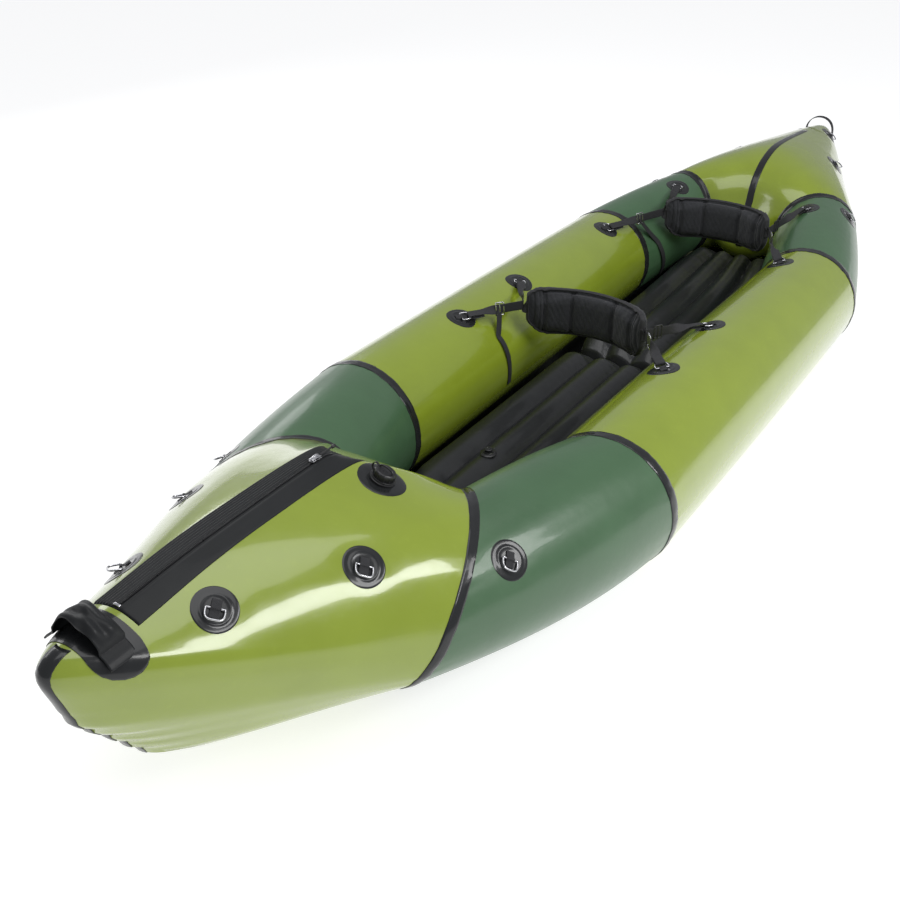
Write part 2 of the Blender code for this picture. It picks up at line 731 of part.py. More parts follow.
def thicken(bm, lift, thickness, thicker=None, facing=None):
    """Lifts an open surface along its normals and gives it a thickness outwards.

    thicker -- a function of a point that gives the thickness there
    facing -- directions to use at some points in place of the normals
    It returns the faces of the outer side.
    """
    bmesh.ops.triangulate(bm, faces=bm.faces)
    bm.normal_update()
    normals = {v: v.normal.copy() for v in bm.verts}
    normals.update(facing or {})
    faces = list(bm.faces)
    border = [e for e in bm.edges if e.is_boundary]
    outer = {}
    for vert, normal in normals.items():
        depth = thicker(vert.co) if thicker else thickness
        outer[vert] = bm.verts.new(vert.co + normal * (lift + depth))
    for vert, normal in normals.items():
        vert.co += normal * lift
    outside = [bm.faces.new([outer[v] for v in face.verts]) for face in faces]
    for edge in border:
        a, b = edge.verts
        if edge.link_loops[0].vert is not a:
            a, b = b, a
        bm.faces.new((a, b, outer[b], outer[a]))
    bmesh.ops.reverse_faces(bm, faces=faces)
    return outside


def seam_band(before, seam, after):
    """The three loops of the tape over a seam."""
    return [nudged(seam, before, TAPE_HALF_WIDTH), seam, nudged(seam, after, TAPE_HALF_WIDTH)]


def seam_facings(before, seam, after):
    """The way out, halfway between the two panels, at each point of a seam."""
    bm = strip_mesh(seam_band(before, seam, after))
    bm.verts.ensure_lookup_table()
    facings = [bm.verts[RING_SIDES + index].normal.copy() for index in range(RING_SIDES)]
    bm.free()
    return facings


def seam_tape(name, before, seam, after, material, flip):
    """A band over a seam, reaching the same distance along the panel on each side."""
    loops = seam_band(before, seam, after)
    if flip:
        loops = [[mirrored(p) for p in loop] for loop in loops]
    bm = strip_mesh(loops)
    thicken(bm, TAPE_LIFT, TAPE_THICKNESS)
    return place(name, bm, material)


def round_planes(frame, radius, sides):
    """The planes round a disc that lies in a frame's XY plane, and one that drops the far side."""
    turn = frame.to_3x3()
    planes = []
    for index in range(sides):
        angle = math.tau * index / sides
        outward = turn @ Vector((math.cos(angle), math.sin(angle), 0))
        planes.append((frame.translation + outward * radius, outward))
    down = turn @ -UP
    planes.append((frame.translation + down * radius, down))
    return planes


def ribbon(points, sides, widths, thickness):
    """A flat band along points: the way its width runs and how wide it is, at each point."""
    bm = bmesh.new()
    rows = []
    last = len(points) - 1
    for index, (point, side, width) in enumerate(zip(points, sides, widths)):
        tangent = (points[min(index + 1, last)] - points[max(index - 1, 0)]).normalized()
        out = side.cross(tangent).normalized()
        half = tangent.cross(out).normalized() * (width / 2)
        lift = out * (thickness / 2)
        if 0 < index < last:
            bend = (points[index + 1] - point).angle(point - points[index - 1])
            lift /= max(math.cos(bend / 2), 0.5)
        corners = (half + lift, lift - half, -half - lift, half - lift)
        rows.append([bm.verts.new(point + corner) for corner in corners])
    for row, after in zip(rows, rows[1:]):
        for i in range(4):
            j = (i + 1) % 4
            bm.faces.new((row[i], row[j], after[j], after[i]))
    bm.faces.new(list(reversed(rows[0])))
    bm.faces.new(rows[-1])
    bmesh.ops.recalc_face_normals(bm, faces=bm.faces)
    bmesh.ops.triangulate(bm, faces=bm.faces)
    return bm


def weld(target, name, bm, material):
    """Welds a solid to an object, keeping the solid's own material on its faces."""
    helper = place(name, bm, material)
    helper.hide_render = True
    helper.display_type = "WIRE"
    step = target.modifiers.new("weld " + name, "BOOLEAN")
    step.operation = "UNION"
    step.solver = "EXACT"
    step.material_mode = "TRANSFER"
    step.object = helper


def ring_mesh():
    """A wire D-ring with its bar on the X axis and its bow along +Y."""
    path = []
    for step in range(RING_ARC_STEPS + 1):
        angle = math.pi * step / RING_ARC_STEPS
        across = abs(math.cos(angle)) ** RING_SQUARE_SHARE
        across = math.copysign(across, math.cos(angle)) if 0 < step < RING_ARC_STEPS else across
        if step == RING_ARC_STEPS:
            across = -across
        ahead = math.sin(angle) ** RING_SQUARE_SHARE if 0 < step < RING_ARC_STEPS else 0.0
        path.append(Vector((RING_HALF_WIDTH * across, RING_DEPTH * ahead, 0)))
    bm = bmesh.new()
    rows = []
    count = len(path)
    for index, point in enumerate(path):
        before = path[index - 1]
        after = path[(index + 1) % count]
        tangent = ((point - before).normalized() + (after - point).normalized()).normalized()
        out = tangent.cross(UP)
        widen = 1 / max(math.cos((after - point).angle(point - before) / 2), 0.5)
        row = []
        for side in range(WIRE_SIDES):
            angle = math.tau * (side + 0.5) / WIRE_SIDES
            offset = out * (math.cos(angle) * widen) + UP * math.sin(angle)
            row.append(bm.verts.new(point + offset * RING_WIRE_RADIUS))
        rows.append(row)
    for index, row in enumerate(rows):
        after = rows[(index + 1) % count]
        for i in range(WIRE_SIDES):
            j = (i + 1) % WIRE_SIDES
            bm.faces.new((row[i], row[j], after[j], after[i]))
    return bm


def bar_height():
    """How far a D-ring's bar lies above the skin under its patch."""
    return PATCH_HEIGHT + RING_WIRE_RADIUS + RING_PLAY


def tab_mesh(frame):
    """The webbing arch that holds a D-ring's bar on its patch."""
    inner = RING_WIRE_RADIUS + RING_PLAY + TAB_THICKNESS / 2
    centre = bar_height()
    points = [Vector((0, -inner, -SKIN / 2))]
    for step in range(TAB_STEPS + 1):
        angle = math.pi * (1 - step / TAB_STEPS)
        points.append(Vector((0, inner * math.cos(angle), centre + inner * math.sin(angle))))
    points.append(Vector((0, inner, -SKIN / 2)))
    points = [frame @ p for p in points]
    side = frame.to_3x3() @ Vector((1, 0, 0))
    return ribbon(points, [side] * len(points), [TAB_WIDTH] * len(points), TAB_THICKNESS)


class Anchor:
    """One round patch with its tab, welded to a skin, and the D-ring that swings in it."""

    def __init__(self, name, skin, x, y, toward, lift, black, steel):
        frame = skin.frame_at(x, y, toward)
        skin.raise_patch(frame)
        weld(skin.obj, name + "_tab", tab_mesh(frame), black)
        self.pose = frame.to_3x3().to_4x4()
        self.pose.translation = frame @ Vector((0, 0, bar_height()))
        self.pose = self.pose @ Matrix.Rotation(lift, 4, "X")
        place(name + "_ring", ring_mesh(), steel, self.pose)

    def bow_point(self):
        """The middle of the D-ring's bow."""
        return self.pose @ Vector((0, RING_DEPTH, 0))

    def side(self):
        return (self.pose.to_3x3() @ Vector((1, 0, 0))).normalized()


def turned(name, profile, sides, material, frame, lug=0.0, lug_rows=()):
    """A turned solid from (radius, height) pairs, with raised grips on some rows."""
    bm = bmesh.new()
    rows = []
    for number, (radius, height) in enumerate(profile):
        row = []
        for index in range(sides):
            angle = math.tau * index / sides
            reach = radius + (lug if number in lug_rows and index % 4 < 2 else 0)
            row.append(bm.verts.new((reach * math.cos(angle), reach * math.sin(angle), height)))
        rows.append(row)
    for row, after in zip(rows, rows[1:]):
        for i in range(sides):
            j = (i + 1) % sides
            bm.faces.new((row[i], row[j], after[j], after[i]))
    bm.faces.new(list(reversed(rows[0])))
    bm.faces.new(rows[-1])
    return place(name, bm, material, frame)


def cup(name, radius, inner_radius, height, inner_height, sides, material, frame, lug):
    """A screw cap: open underneath, with raised grips round its wall."""
    profile = (
        (inner_radius, inner_height), (inner_radius, 0.0), (radius, 0.0),
        (radius, height * VALVE_CAP_EDGE_SHARES[1]), (radius * VALVE_CAP_EDGE_SHARES[0], height),
    )
    return turned(name, profile, sides, material, frame, lug, (2, 3))


def block(size, centre):
    """A box with its edges softened."""
    bm = bmesh.new()
    bmesh.ops.create_cube(bm, size=1)
    for vert in bm.verts:
        vert.co = Vector([c * s + m for c, s, m in zip(vert.co, size, centre)])
    bmesh.ops.bevel(
        bm, geom=bm.edges[:], offset=min(size) * SLIDER_EDGE_SHARE, segments=2,
        affect="EDGES", profile=0.5, material=-1,
    )
    return bm


def backrest(name, station, height, material):
    """A curved pad with vertical channels; its ends reach forward to the pivot line."""
    shares = {round(-1 + 2 * i / PAD_STATIONS, 4) for i in range(PAD_STATIONS + 1)}
    for channel in PAD_CHANNEL_SHARES:
        shares |= {channel - PAD_CHANNEL_WIDTH_SHARE, channel, channel + PAD_CHANNEL_WIDTH_SHARE}
    kept = []
    for share in sorted(shares):
        near_channel = any(0 < abs(share - c) < PAD_CHANNEL_WIDTH_SHARE for c in PAD_CHANNEL_SHARES)
        if not near_channel:
            kept.append(share)
    bm = bmesh.new()
    rows = []
    for share in kept:
        angle = share * PAD_ARC
        across = PAD_HALF_WIDTH * math.sin(angle) / math.sin(PAD_ARC)
        deep = PAD_DEPTH * (math.cos(angle) - math.cos(PAD_ARC)) / (1 - math.cos(PAD_ARC))
        tangent = Vector((PAD_HALF_WIDTH * math.cos(angle) / math.sin(PAD_ARC), 0, 0))
        tangent.y = -PAD_DEPTH * math.sin(angle) / (1 - math.cos(PAD_ARC))
        tangent.normalize()
        ahead = Vector((tangent.y, -tangent.x, 0))
        end = max(0.0, (abs(share) - PAD_END_START_SHARE) / (1 - PAD_END_START_SHARE))
        thick = PAD_THICKNESS / 2 * (1 - (1 - PAD_END_THIN_SHARE) * end**2)
        half = PAD_HEIGHT / 2 * (1 - (1 - PAD_END_HEIGHT_SHARE) * end**PAD_END_CURVE)
        in_channel = any(abs(share - c) < MERGE for c in PAD_CHANNEL_SHARES)
        dent = PAD_CHANNEL_DEPTH if in_channel else 0.0
        centre = Vector((across, deep, -PAD_DROP * (1 - end * (1 - PAD_END_DROP_SHARE))))
        row = []
        for forward, up in PAD_SECTION_SHARES:
            depth = forward * thick
            if abs(forward) > 0.5:
                depth -= math.copysign(dent, forward)
            row.append(bm.verts.new(centre + ahead * depth + UP * (up * half)))
        rows.append(row)
    for row, first in ((rows[0], True), (rows[-1], False)):
        core = middle([vert.co for vert in row])
        shift = Vector((-PAD_TIP_LENGTH if first else PAD_TIP_LENGTH, 0, 0))
        tip = [bm.verts.new(core + shift + (vert.co - core) * PAD_TIP_SHARE) for vert in row]
        rows.insert(0 if first else len(rows), tip)
    count = len(PAD_SECTION_SHARES)
    for row, after in zip(rows, rows[1:]):
        for i in range(count):
            j = (i + 1) % count
            bm.faces.new((row[i], row[j], after[j], after[i]))
    bm.faces.new(list(reversed(rows[0])))
    bm.faces.new(rows[-1])
    reach = max(vert.co.x for vert in bm.verts)
    place(name, bm, material, Matrix.Translation((0, station, height)))
    return reach


def curl(start, anchor):
    """A webbing end that comes from a start, passes through the D-ring and folds back."""
    bow = anchor.bow_point()
    side = anchor.side()
    aim = start - bow
    aim -= side * aim.dot(side)
    aim.normalize()
    up = aim.cross(side).normalized()
    if up.z < 0:
        up.negate()
    radius = RING_WIRE_RADIUS + WEB_CURL_PLAY + WEB_THICKNESS / 2
    points = [bow + up * radius + aim * (radius * WEB_CURL_END_SHARES[0])]
    for step in range(WEB_CURL_STEPS + 1):
        angle = math.pi * (0.5 + step / WEB_CURL_STEPS)
        points.append(bow + aim * (radius * math.cos(angle)) + up * (radius * math.sin(angle)))
    points.append(bow - up * radius + aim * (radius * WEB_CURL_END_SHARES[1]))
    return points, side


def leg(start, anchor):
    """From beside a backrest's end to a D-ring: points, width directions and widths."""
    points, side = curl(start, anchor)
    if side.dot(Vector((0, 1, 0)).cross(UP)) < 0:
        side = -side
    sides = [side] * len(points)
    widths = [WEB_END_WIDTH] * len(points)
    twist = []
    for step in range(1, WEB_TWIST_STEPS):
        share = step / WEB_TWIST_STEPS
        place_on = start.lerp(points[0], share)
        turn = share * math.pi / 2
        twist.append((place_on, UP * math.cos(turn) + side * math.sin(turn), share))
    head = [t[0] for t in twist]
    head_sides = [t[1] for t in twist]
    head_widths = [WEB_WIDTH + (WEB_END_WIDTH - WEB_WIDTH) * t[2] for t in twist]
    return head + points, head_sides + sides, head_widths + widths


def seat_strap(name, pivot, forward, aft, material):
    """One strap: through the forward D-ring, past the backrest's end, through the aft D-ring."""
    first, first_sides, first_widths = leg(pivot, forward)
    second, second_sides, second_widths = leg(pivot, aft)
    points = list(reversed(first)) + [pivot] + second
    sides = list(reversed(first_sides)) + [UP] + second_sides
    widths = list(reversed(first_widths)) + [WEB_WIDTH] + second_widths
    return place(name, ribbon(points, sides, widths, WEB_THICKNESS), material)


def rest(skin, hit, facing, clearance, width):
    """A place above the skin for a band that runs across the hull, and which way its width runs."""
    aft = Vector((0, 1, 0))
    side = (aft - facing * aft.dot(facing)).normalized()
    lift = 0.0
    for share in BAND_SHARES:
        above = hit + side * (width * share) + facing * width
        below = skin.tree.ray_cast(above, -facing, width * 2)[0]
        if below is not None:
            lift = max(lift, (below - hit).dot(facing))
    return hit + facing * (lift + clearance), side


def arch(skin, station, root, top, foot, clearance, width):
    """A webbing arch over the hull from side to side, its feet lying along the skin."""
    hit, normal = skin.point_below(root, station)
    trail = [(hit, normal)]
    for _ in range(FOOT_STEPS):
        down = Vector((0, 1, 0)).cross(normal)
        down = down if down.z < 0 else -down
        hit, facing, _, _ = skin.tree.find_nearest(hit + down * (foot / FOOT_STEPS))
        hit = Vector((hit.x, station, hit.z))
        normal = facing if facing.dot(normal) > 0 else -facing
        trail.append((hit, normal))
    spots = [spot for spot, _ in trail]
    facings = [facing for _, facing in trail]
    eased = []
    for before, facing, after in zip(facings[:1] + facings, facings, facings[1:] + facings[-1:]):
        eased.append((before + facing + after).normalized())
    upward = reversed(list(zip(spots, eased)))
    places = [rest(skin, spot, facing, clearance, width) for spot, facing in upward]
    points = [place_on for place_on, _ in places]
    sides = [side for _, side in places]
    base = points[-1]
    level = len(points)
    for step in range(1, ARCH_STEPS // 2 + 1):
        angle = math.pi * step / ARCH_STEPS
        rise = (top - base.z) * math.sin(angle) ** ARCH_SQUARE_SHARE
        points.append(Vector((base.x * math.cos(angle), base.y, base.z + rise)))
        sides.append(Vector((0, 1, 0)))
    points[-1].x = 0
    for index in range(level, len(points)):
        points[index].y += (station - base.y) * (index - level + 1) / (len(points) - level)
    points += [mirrored(point) for point in reversed(points[:-1])]
    sides += [mirrored(side) for side in reversed(sides[:-1])]
    return ribbon(points, sides, [width] * len(points), WEBBING_THICKNESS)


def beside(trees, station, height, clearance):
    """How far out from the centre line the tubes are at a station and height."""
    reach = []
    for tree in trees:
        hit = tree.ray_cast(Vector((0, station, height)), Vector((1, 0, 0)))[0]
        if hit is not None:
            reach.append(hit.x - clearance)
    return min(reach, default=MAT_HALF_WIDTH)


def tube_bottom(trees, station):
    """The lowest height of the tubes at a station."""
    heights = []
    for step in range(SHEET_PROBES):
        x = TUBE_OFFSET_REAR * (step + 1) / SHEET_PROBES
        for tree in trees:
            hit = tree.ray_cast(Vector((x, station, -PROBE_REACH)), UP)[0]
            if hit is not None:
                heights.append(hit.z)
    return min(heights, default=GROUND) - GROUND


def sheet_rows(trees):
    """The bottom sheet's station, underside height and half width, from front to rear."""
    rows = []
    for step in range(SHEET_STATIONS + 1):
        share = step / SHEET_STATIONS
        station = SHEET_FRONT_STATION + (SHEET_REAR_STATION - SHEET_FRONT_STATION) * share
        base = max(0.0, tube_bottom(trees, station))
        low = beside(trees, station, base + GROUND + GAP, SHEET_CLEARANCE)
        high = beside(trees, station, base + GROUND + SHEET_THICKNESS, SHEET_CLEARANCE)
        rows.append((station, base, min(low, high)))
    return rows


def sheet_height(rows, station):
    """The underside height of the bottom sheet at a station."""
    for (y, base, _), (next_y, next_base, _) in zip(rows, rows[1:]):
        if y <= station <= next_y:
            return base + (next_base - base) * (station - y) / (next_y - y)
    return rows[0][1] if station < rows[0][0] else rows[-1][1]


def loft(rows):
    """A solid through closed rows of points, capped at both ends."""
    bm = bmesh.new()
    rings = [[bm.verts.new(point) for point in row] for row in rows]
    count = len(rings[0])
    for ring, after in zip(rings, rings[1:]):
        for i in range(count):
            j = (i + 1) % count
            bm.faces.new((ring[i], ring[j], after[j], after[i]))
    bm.faces.new(list(reversed(rings[0])))
    bm.faces.new(rings[-1])
    return bm


def hull_floor(rows, material):
    """The bottom sheet, level with the tubes' undersides and reaching out to them."""
    loops = []
    for station, base, half in rows:
        top = base + SHEET_THICKNESS
        corners = ((-half, base), (half, base), (half, top), (-half, top))
        loops.append([Vector((x, station, z)) for x, z in corners])
    return place("hull_floor", loft(loops), material)


def floor_mat(name, ends, trees, sheet, material):
    """A mat of lengthwise chambers, rounded down at both ends."""
    front, rear = ends
    centre = (front + rear) / 2
    count = MAT_CHAMBERS * MAT_CHAMBER_STEPS
    rows = []
    for step in range(MAT_STATIONS + 1):
        turn = math.pi * step / MAT_STATIONS
        ahead = math.copysign(abs(math.cos(turn)) ** MAT_END_SHARE, math.cos(turn))
        station = centre - (rear - front) / 2 * ahead
        edge = min(station - front, rear - station) / MAT_END_ROUND
        inset = max(0.0, 1 - edge)
        full = math.sqrt(max(0.0, 1 - inset**2))
        plump = MAT_END_HEIGHT_SHARE + (1 - MAT_END_HEIGHT_SHARE) * full
        narrow = MAT_END_WIDTH_SHARE + (1 - MAT_END_WIDTH_SHARE) * full
        base = sheet_height(sheet, station) + SHEET_THICKNESS + GAP
        room = [MAT_HALF_WIDTH]
        for share in MAT_PROBE_SHARES:
            room.append(beside(trees, station, base + MAT_HEIGHT * share, MAT_CLEARANCE))
        half = min(room) * narrow
        top = MAT_HEIGHT * plump
        flank = [(across * half, up * top) for across, up in MAT_FLANK_SHARES]
        points = [(-x, z) for x, z in flank]
        for index in range(1, count):
            phase = (index % MAT_CHAMBER_STEPS) / MAT_CHAMBER_STEPS
            crown = math.sin(math.pi * phase) ** MAT_CROWN_SHARE if phase > 0 else 0.0
            height = top - MAT_CREASE * plump * (1 - crown)
            points.append((half * (2 * index / count - 1), height))
        points += reversed(flank)
        rows.append([Vector((x, station, base + z)) for x, z in points])
    bm = loft(rows)
    tree = BVHTree.FromBMesh(bm)
    place(name, bm, material)
    return tree


def mirrored_all(points):
    return [mirrored(point) for point in points]


def build_skins(hull, light, dark, patch):
    skins = {}
    ends = (
        ("bow_skin", hull.bow, hull.bow_inner, hull.bow_centre, hull.bow_rim),
        ("stern_skin", hull.stern, hull.stern_inner, hull.stern_centre, hull.stern_rim),
    )
    for name, seam, inner, centre, rim in ends:
        loops = hull.end_piece(seam, inner, centre)
        rims = (rim, mirrored_all(rim))
        skins[name] = Skin(name, loops, rims, len(loops) // 2, light, patch)
    kinds = (
        ("mid_tube", hull.front, hull.mid_inner, hull.rear, hull.front_rim, hull.rear_rim, light),
        ("front_panel", hull.front, hull.front_inner, hull.bow, hull.front_rim, hull.bow_rim, dark),
        ("rear_panel", hull.rear, hull.rear_inner, hull.stern, hull.rear_rim, hull.stern_rim, dark),
    )
    for kind, first, inner, last, first_rim, last_rim, material in kinds:
        loops = hull.tube(first, inner, last)
        rims = (first_rim, last_rim)
        name = kind + "_port"
        skins[name] = Skin(name, loops, rims, None, material, patch)
        loops = [mirrored_all(loop) for loop in loops]
        rims = (mirrored_all(first_rim), mirrored_all(last_rim))
        name = kind + "_starboard"
        skins[name] = Skin(name, loops, rims, None, material, patch)
    return skins


def build_tapes(hull, skins, tape):
    seams = (
        ("front_seam_tape", hull.mid_inner[0], hull.front, hull.front_inner[0]),
        ("rear_seam_tape", hull.mid_inner[-1], hull.rear, hull.rear_inner[0]),
        ("bow_seam_tape", hull.front_inner[-1], hull.bow, hull.bow_inner[0]),
        ("stern_seam_tape", hull.rear_inner[-1], hull.stern, hull.stern_inner[0]),
    )
    for kind, before, seam, after in seams:
        seam_tape(kind + "_port", before, seam, after, tape, False)
        seam_tape(kind + "_starboard", before, seam, after, tape, True)
    right = Vector((1, 0, 0))
    sides = [(right * STEM_TAPE_HALF_WIDTH, right), (-right * STEM_TAPE_HALF_WIDTH, -right)]
    top_out = Vector((0, math.cos(STEM_TAPE_TILT), math.sin(STEM_TAPE_TILT)))
    ends = [
        (Vector((0, *STEM_TAPE_TOP)), top_out),
        (Vector((0, STEM_TAPE_FOOT_STATION, 0)), Vector((0, 1, 0))),
    ]
    stem = skins["bow_skin"].cutting(sides + ends, TAPE_LIFT, TAPE_THICKNESS)
    place("bow_stem_tape", stem, tape)
    sides = [(right * STERN_TAPE_HALF_WIDTH, right), (-right * STERN_TAPE_HALF_WIDTH, -right)]
    ends = [
        (Vector((0, STERN_TAPE_END_STATION, 0)), Vector((0, 1, 0))),
        (Vector((0, 0, STERN_TAPE_FOOT_HEIGHT)), -UP),
    ]
    centre = skins["stern_skin"].cutting(sides + ends, TAPE_LIFT, TAPE_THICKNESS)
    place("stern_centre_tape", centre, tape)


def skin_for(skins, kind, side):
    return skins.get(kind) or skins[f"{kind}_{side}"]


def build_anchors(skins, black, steel):
    anchors = {}
    for side, sign in (("port", 1), ("starboard", -1)):
        lift = PORT_RING_LIFT if side == "port" else STARBOARD_RING_LIFT
        for place_name, (x, y, kind) in FLANK_ANCHORS.items():
            name = f"{place_name}_{side}"
            toward = Vector(FLANK_RING_DIRECTION)
            toward = Vector((sign * toward.x, math.copysign(toward.y, y), toward.z))
            skin = skin_for(skins, kind, side)
            anchors[name] = Anchor(name, skin, sign * x, y, toward, lift, black, steel)
        for place_name, (x, y, kind) in SEAT_ANCHORS.items():
            name = f"{place_name}_{side}"
            seat = FRONT_PAD_STATION if place_name.startswith("front") else REAR_PAD_STATION
            toward = Vector((-sign * (x - PAD_HALF_WIDTH), seat - y, 0))
            skin = skin_for(skins, kind, side)
            anchors[name] = Anchor(
                name, skin, sign * x, y, toward, SEAT_RING_LIFT, black, steel
            )
    return anchors


def build_zip(bow, tape, steel, cord):
    right = Vector((1, 0, 0))
    edges = [
        (right * ZIP_HALF_WIDTH, right), (-right * ZIP_HALF_WIDTH, -right),
        (Vector((0, ZIP_REAR_STATION, 0)), Vector((0, 1, 0))),
        (Vector((0, ZIP_FRONT_STATION, 0)), Vector((0, -1, 0))),
        (Vector((0, 0, BOW_DECK_HEIGHT / 2)), -UP),
    ]
    chain = [(right * CHAIN_HALF_WIDTH, right), (-right * CHAIN_HALF_WIDTH, right)]
    foot = CHAIN_HALF_WIDTH * CHAIN_FOOT_SHARE
    chain += [(right * foot, right), (-right * foot, right)]

    def thickness(point):
        return CHAIN_THICKNESS if abs(point.x) < (CHAIN_HALF_WIDTH + foot) / 2 else ZIP_THICKNESS

    strip = bow.cutting(edges, TAPE_LIFT, ZIP_THICKNESS, chain, thickness)
    place("deck_zip", strip, tape)
    start = bow.point_below(0, SLIDER_STATION + SLIDER_LENGTH / 2)[0]
    end = bow.point_below(0, SLIDER_STATION - SLIDER_LENGTH / 2 - SLIDER_TRAVEL)[0]
    frame = Matrix.Rotation(math.atan2(start.z - end.z, start.y - end.y), 4, "X")
    rise = 0.0
    for step in range(1, SLIDER_PROBES):
        on_line = start.lerp(end, step / SLIDER_PROBES)
        rise = max(rise, bow.point_below(0, on_line.y)[0].z - on_line.z)
    lift = rise + TAPE_LIFT + CHAIN_THICKNESS + GAP * 2
    frame.translation = start.lerp(end, SLIDER_LENGTH / 2 / (start - end).length)
    frame = frame @ Matrix.Translation((0, 0, lift))
    centre = (0, 0, SLIDER_HEIGHT / 2)
    place("zip_slider", block((SLIDER_WIDTH, SLIDER_LENGTH, SLIDER_HEIGHT), centre), steel, frame)
    hinge = Vector((0, SLIDER_LENGTH / 2 + PULL_RADIUS + GAP * 2, SLIDER_HEIGHT / 2))
    profile = [(PULL_RADIUS * across, PULL_RADIUS * back) for across, back in PULL_END_SHARES]
    profile.append((PULL_RADIUS, PULL_LENGTH))
    lying = Matrix.Translation(hinge) @ Matrix.Rotation(-math.pi / 2, 4, "X")
    turned("zip_pull", profile, PULL_SIDES, cord, frame @ lying)


def build_valve(bow, tape, plastic):
    frame = bow.frame_at(*VALVE_PLACE, Vector((0, 1, 0)))
    patch = bow.cutting(
        round_planes(frame, VALVE_PATCH_RADIUS, PATCH_SIDES), TAPE_LIFT, TAPE_THICKNESS
    )
    place("main_valve_patch", patch, tape)
    lift = bow.rise(frame, VALVE_FLANGE_RADIUS) + TAPE_LIFT + TAPE_THICKNESS + GAP * 2
    base = frame @ Matrix.Translation((0, 0, lift))
    profile = (
        (VALVE_FLANGE_RADIUS, 0.0), (VALVE_FLANGE_RADIUS, VALVE_FLANGE_HEIGHT),
        (VALVE_BODY_RADIUS, VALVE_FLANGE_HEIGHT), (VALVE_BODY_RADIUS, VALVE_BODY_HEIGHT),
    )
    turned("main_valve_body", profile, VALVE_SIDES, plastic, base)
    cap_frame = base @ Matrix.Translation((0, 0, VALVE_FLANGE_HEIGHT + GAP))
    inner = VALVE_BODY_HEIGHT - VALVE_FLANGE_HEIGHT + GAP
    bore = (VALVE_BODY_RADIUS + GAP) / math.cos(math.pi / VALVE_SIDES)
    cup(
        "main_valve_cap", VALVE_CAP_RADIUS, bore, VALVE_CAP_HEIGHT, inner,
        VALVE_SIDES, plastic, cap_frame, VALVE_CAP_LUG,
    )


def build_handles(bow, stern, tape, webbing):
    planes = []
    for index in range(SADDLE_SIDES):
        angle = math.tau * index / SADDLE_SIDES
        outward = Vector((0, math.cos(angle), math.sin(angle)))
        if outward.z <= MERGE:
            base = Vector((0, HANDLE_STATION, SADDLE_HEIGHT))
            planes.append((base + outward * SADDLE_RADIUS, outward))
    saddle = bow.cutting(planes, TAPE_LIFT, TAPE_THICKNESS)
    place("bow_handle_patch", saddle, tape)
    clearance = TAPE_LIFT + TAPE_THICKNESS + HANDLE_CLEARANCE + WEBBING_THICKNESS / 2
    top = bow.point_below(0, HANDLE_STATION)[0].z + HANDLE_RISE
    band = arch(bow, HANDLE_STATION, HANDLE_ROOT, top, HANDLE_FOOT, clearance, HANDLE_WIDTH)
    place("bow_handle", band, webbing)
    clearance = STERN_HANDLE_CLEARANCE + WEBBING_THICKNESS / 2
    loop = arch(
        stern, STERN_HANDLE_STATION, STERN_HANDLE_ROOT, STERN_HANDLE_TOP, STERN_HANDLE_FOOT,
        clearance, STERN_HANDLE_WIDTH,
    )
    place("stern_handle", loop, webbing)


def build_floor(skins, mat, tape, plastic):
    trees = [skins[name].tree for name in ("front_panel_port", "mid_tube_port", "rear_panel_port")]
    sheet = sheet_rows(trees)
    hull_floor(sheet, tape)
    front = floor_mat("front_floor_mat", FRONT_MAT_ENDS, trees, sheet, mat)
    floor_mat("rear_floor_mat", REAR_MAT_ENDS, trees, sheet, mat)
    x, y = FLOOR_VALVE_PLACE
    crown = front.ray_cast(Vector((x, y, PROBE_REACH)), -UP)[0]
    frame = Matrix.Translation(crown + UP * GAP * 2)
    profile = [(FLOOR_VALVE_RADIUS * a, FLOOR_VALVE_HEIGHT * b) for a, b in FLOOR_VALVE_SHARES]
    turned("floor_mat_valve", profile, VALVE_SIDES // 2, plastic, frame)


def build_seats(skins, anchors, padding, webbing):
    seats = (
        ("front", FRONT_PAD_STATION, FRONT_PAD_HEIGHT),
        ("rear", REAR_PAD_STATION, REAR_PAD_HEIGHT),
    )
    for kind, station, height in seats:
        reach = backrest(kind + "_backrest", station, height, padding)
        reach += PAD_PLAY
        for side, sign in (("port", 1), ("starboard", -1)):
            pivot = Vector((sign * reach, station, height))
            forward = anchors[f"{kind}_seat_forward_{side}"]
            aft = anchors[f"{kind}_seat_aft_{side}"]
            seat_strap(f"{kind}_seat_strap_{side}", pivot, forward, aft, webbing)


def main():
    clear_scene()
    light = make_material("light green fabric", LIGHT_GREEN, 0.25)
    dark = make_material("dark green fabric", DARK_GREEN, 0.30)
    tape = make_material("black tape", TAPE_BLACK, 0.35)
    webbing = make_material("black webbing", WEBBING_BLACK, 0.75)
    padding = make_material("black padding", PAD_BLACK, 0.80)
    mat = make_material("black mat fabric", MAT_BLACK, 0.50)
    plastic = make_material("black plastic", PLASTIC_BLACK, 0.30)
    steel = make_material("steel", STEEL, 0.25, 1.0)
    hull = Hull()
    skins = build_skins(hull, light, dark, tape)
    build_tapes(hull, skins, tape)
    anchors = build_anchors(skins, tape, steel)
    build_zip(skins["bow_skin"], tape, steel, webbing)
    build_valve(skins["bow_skin"], tape, plastic)
    build_handles(skins["bow_skin"], skins["stern_skin"], tape, webbing)
    build_floor(skins, mat, tape, plastic)
    build_seats(skins, anchors, padding, webbing)
    for skin in skins.values():
        skin.finish()


main()
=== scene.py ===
"""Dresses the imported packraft: coated skins, tapes, webbing, pads, mats, metal and light."""

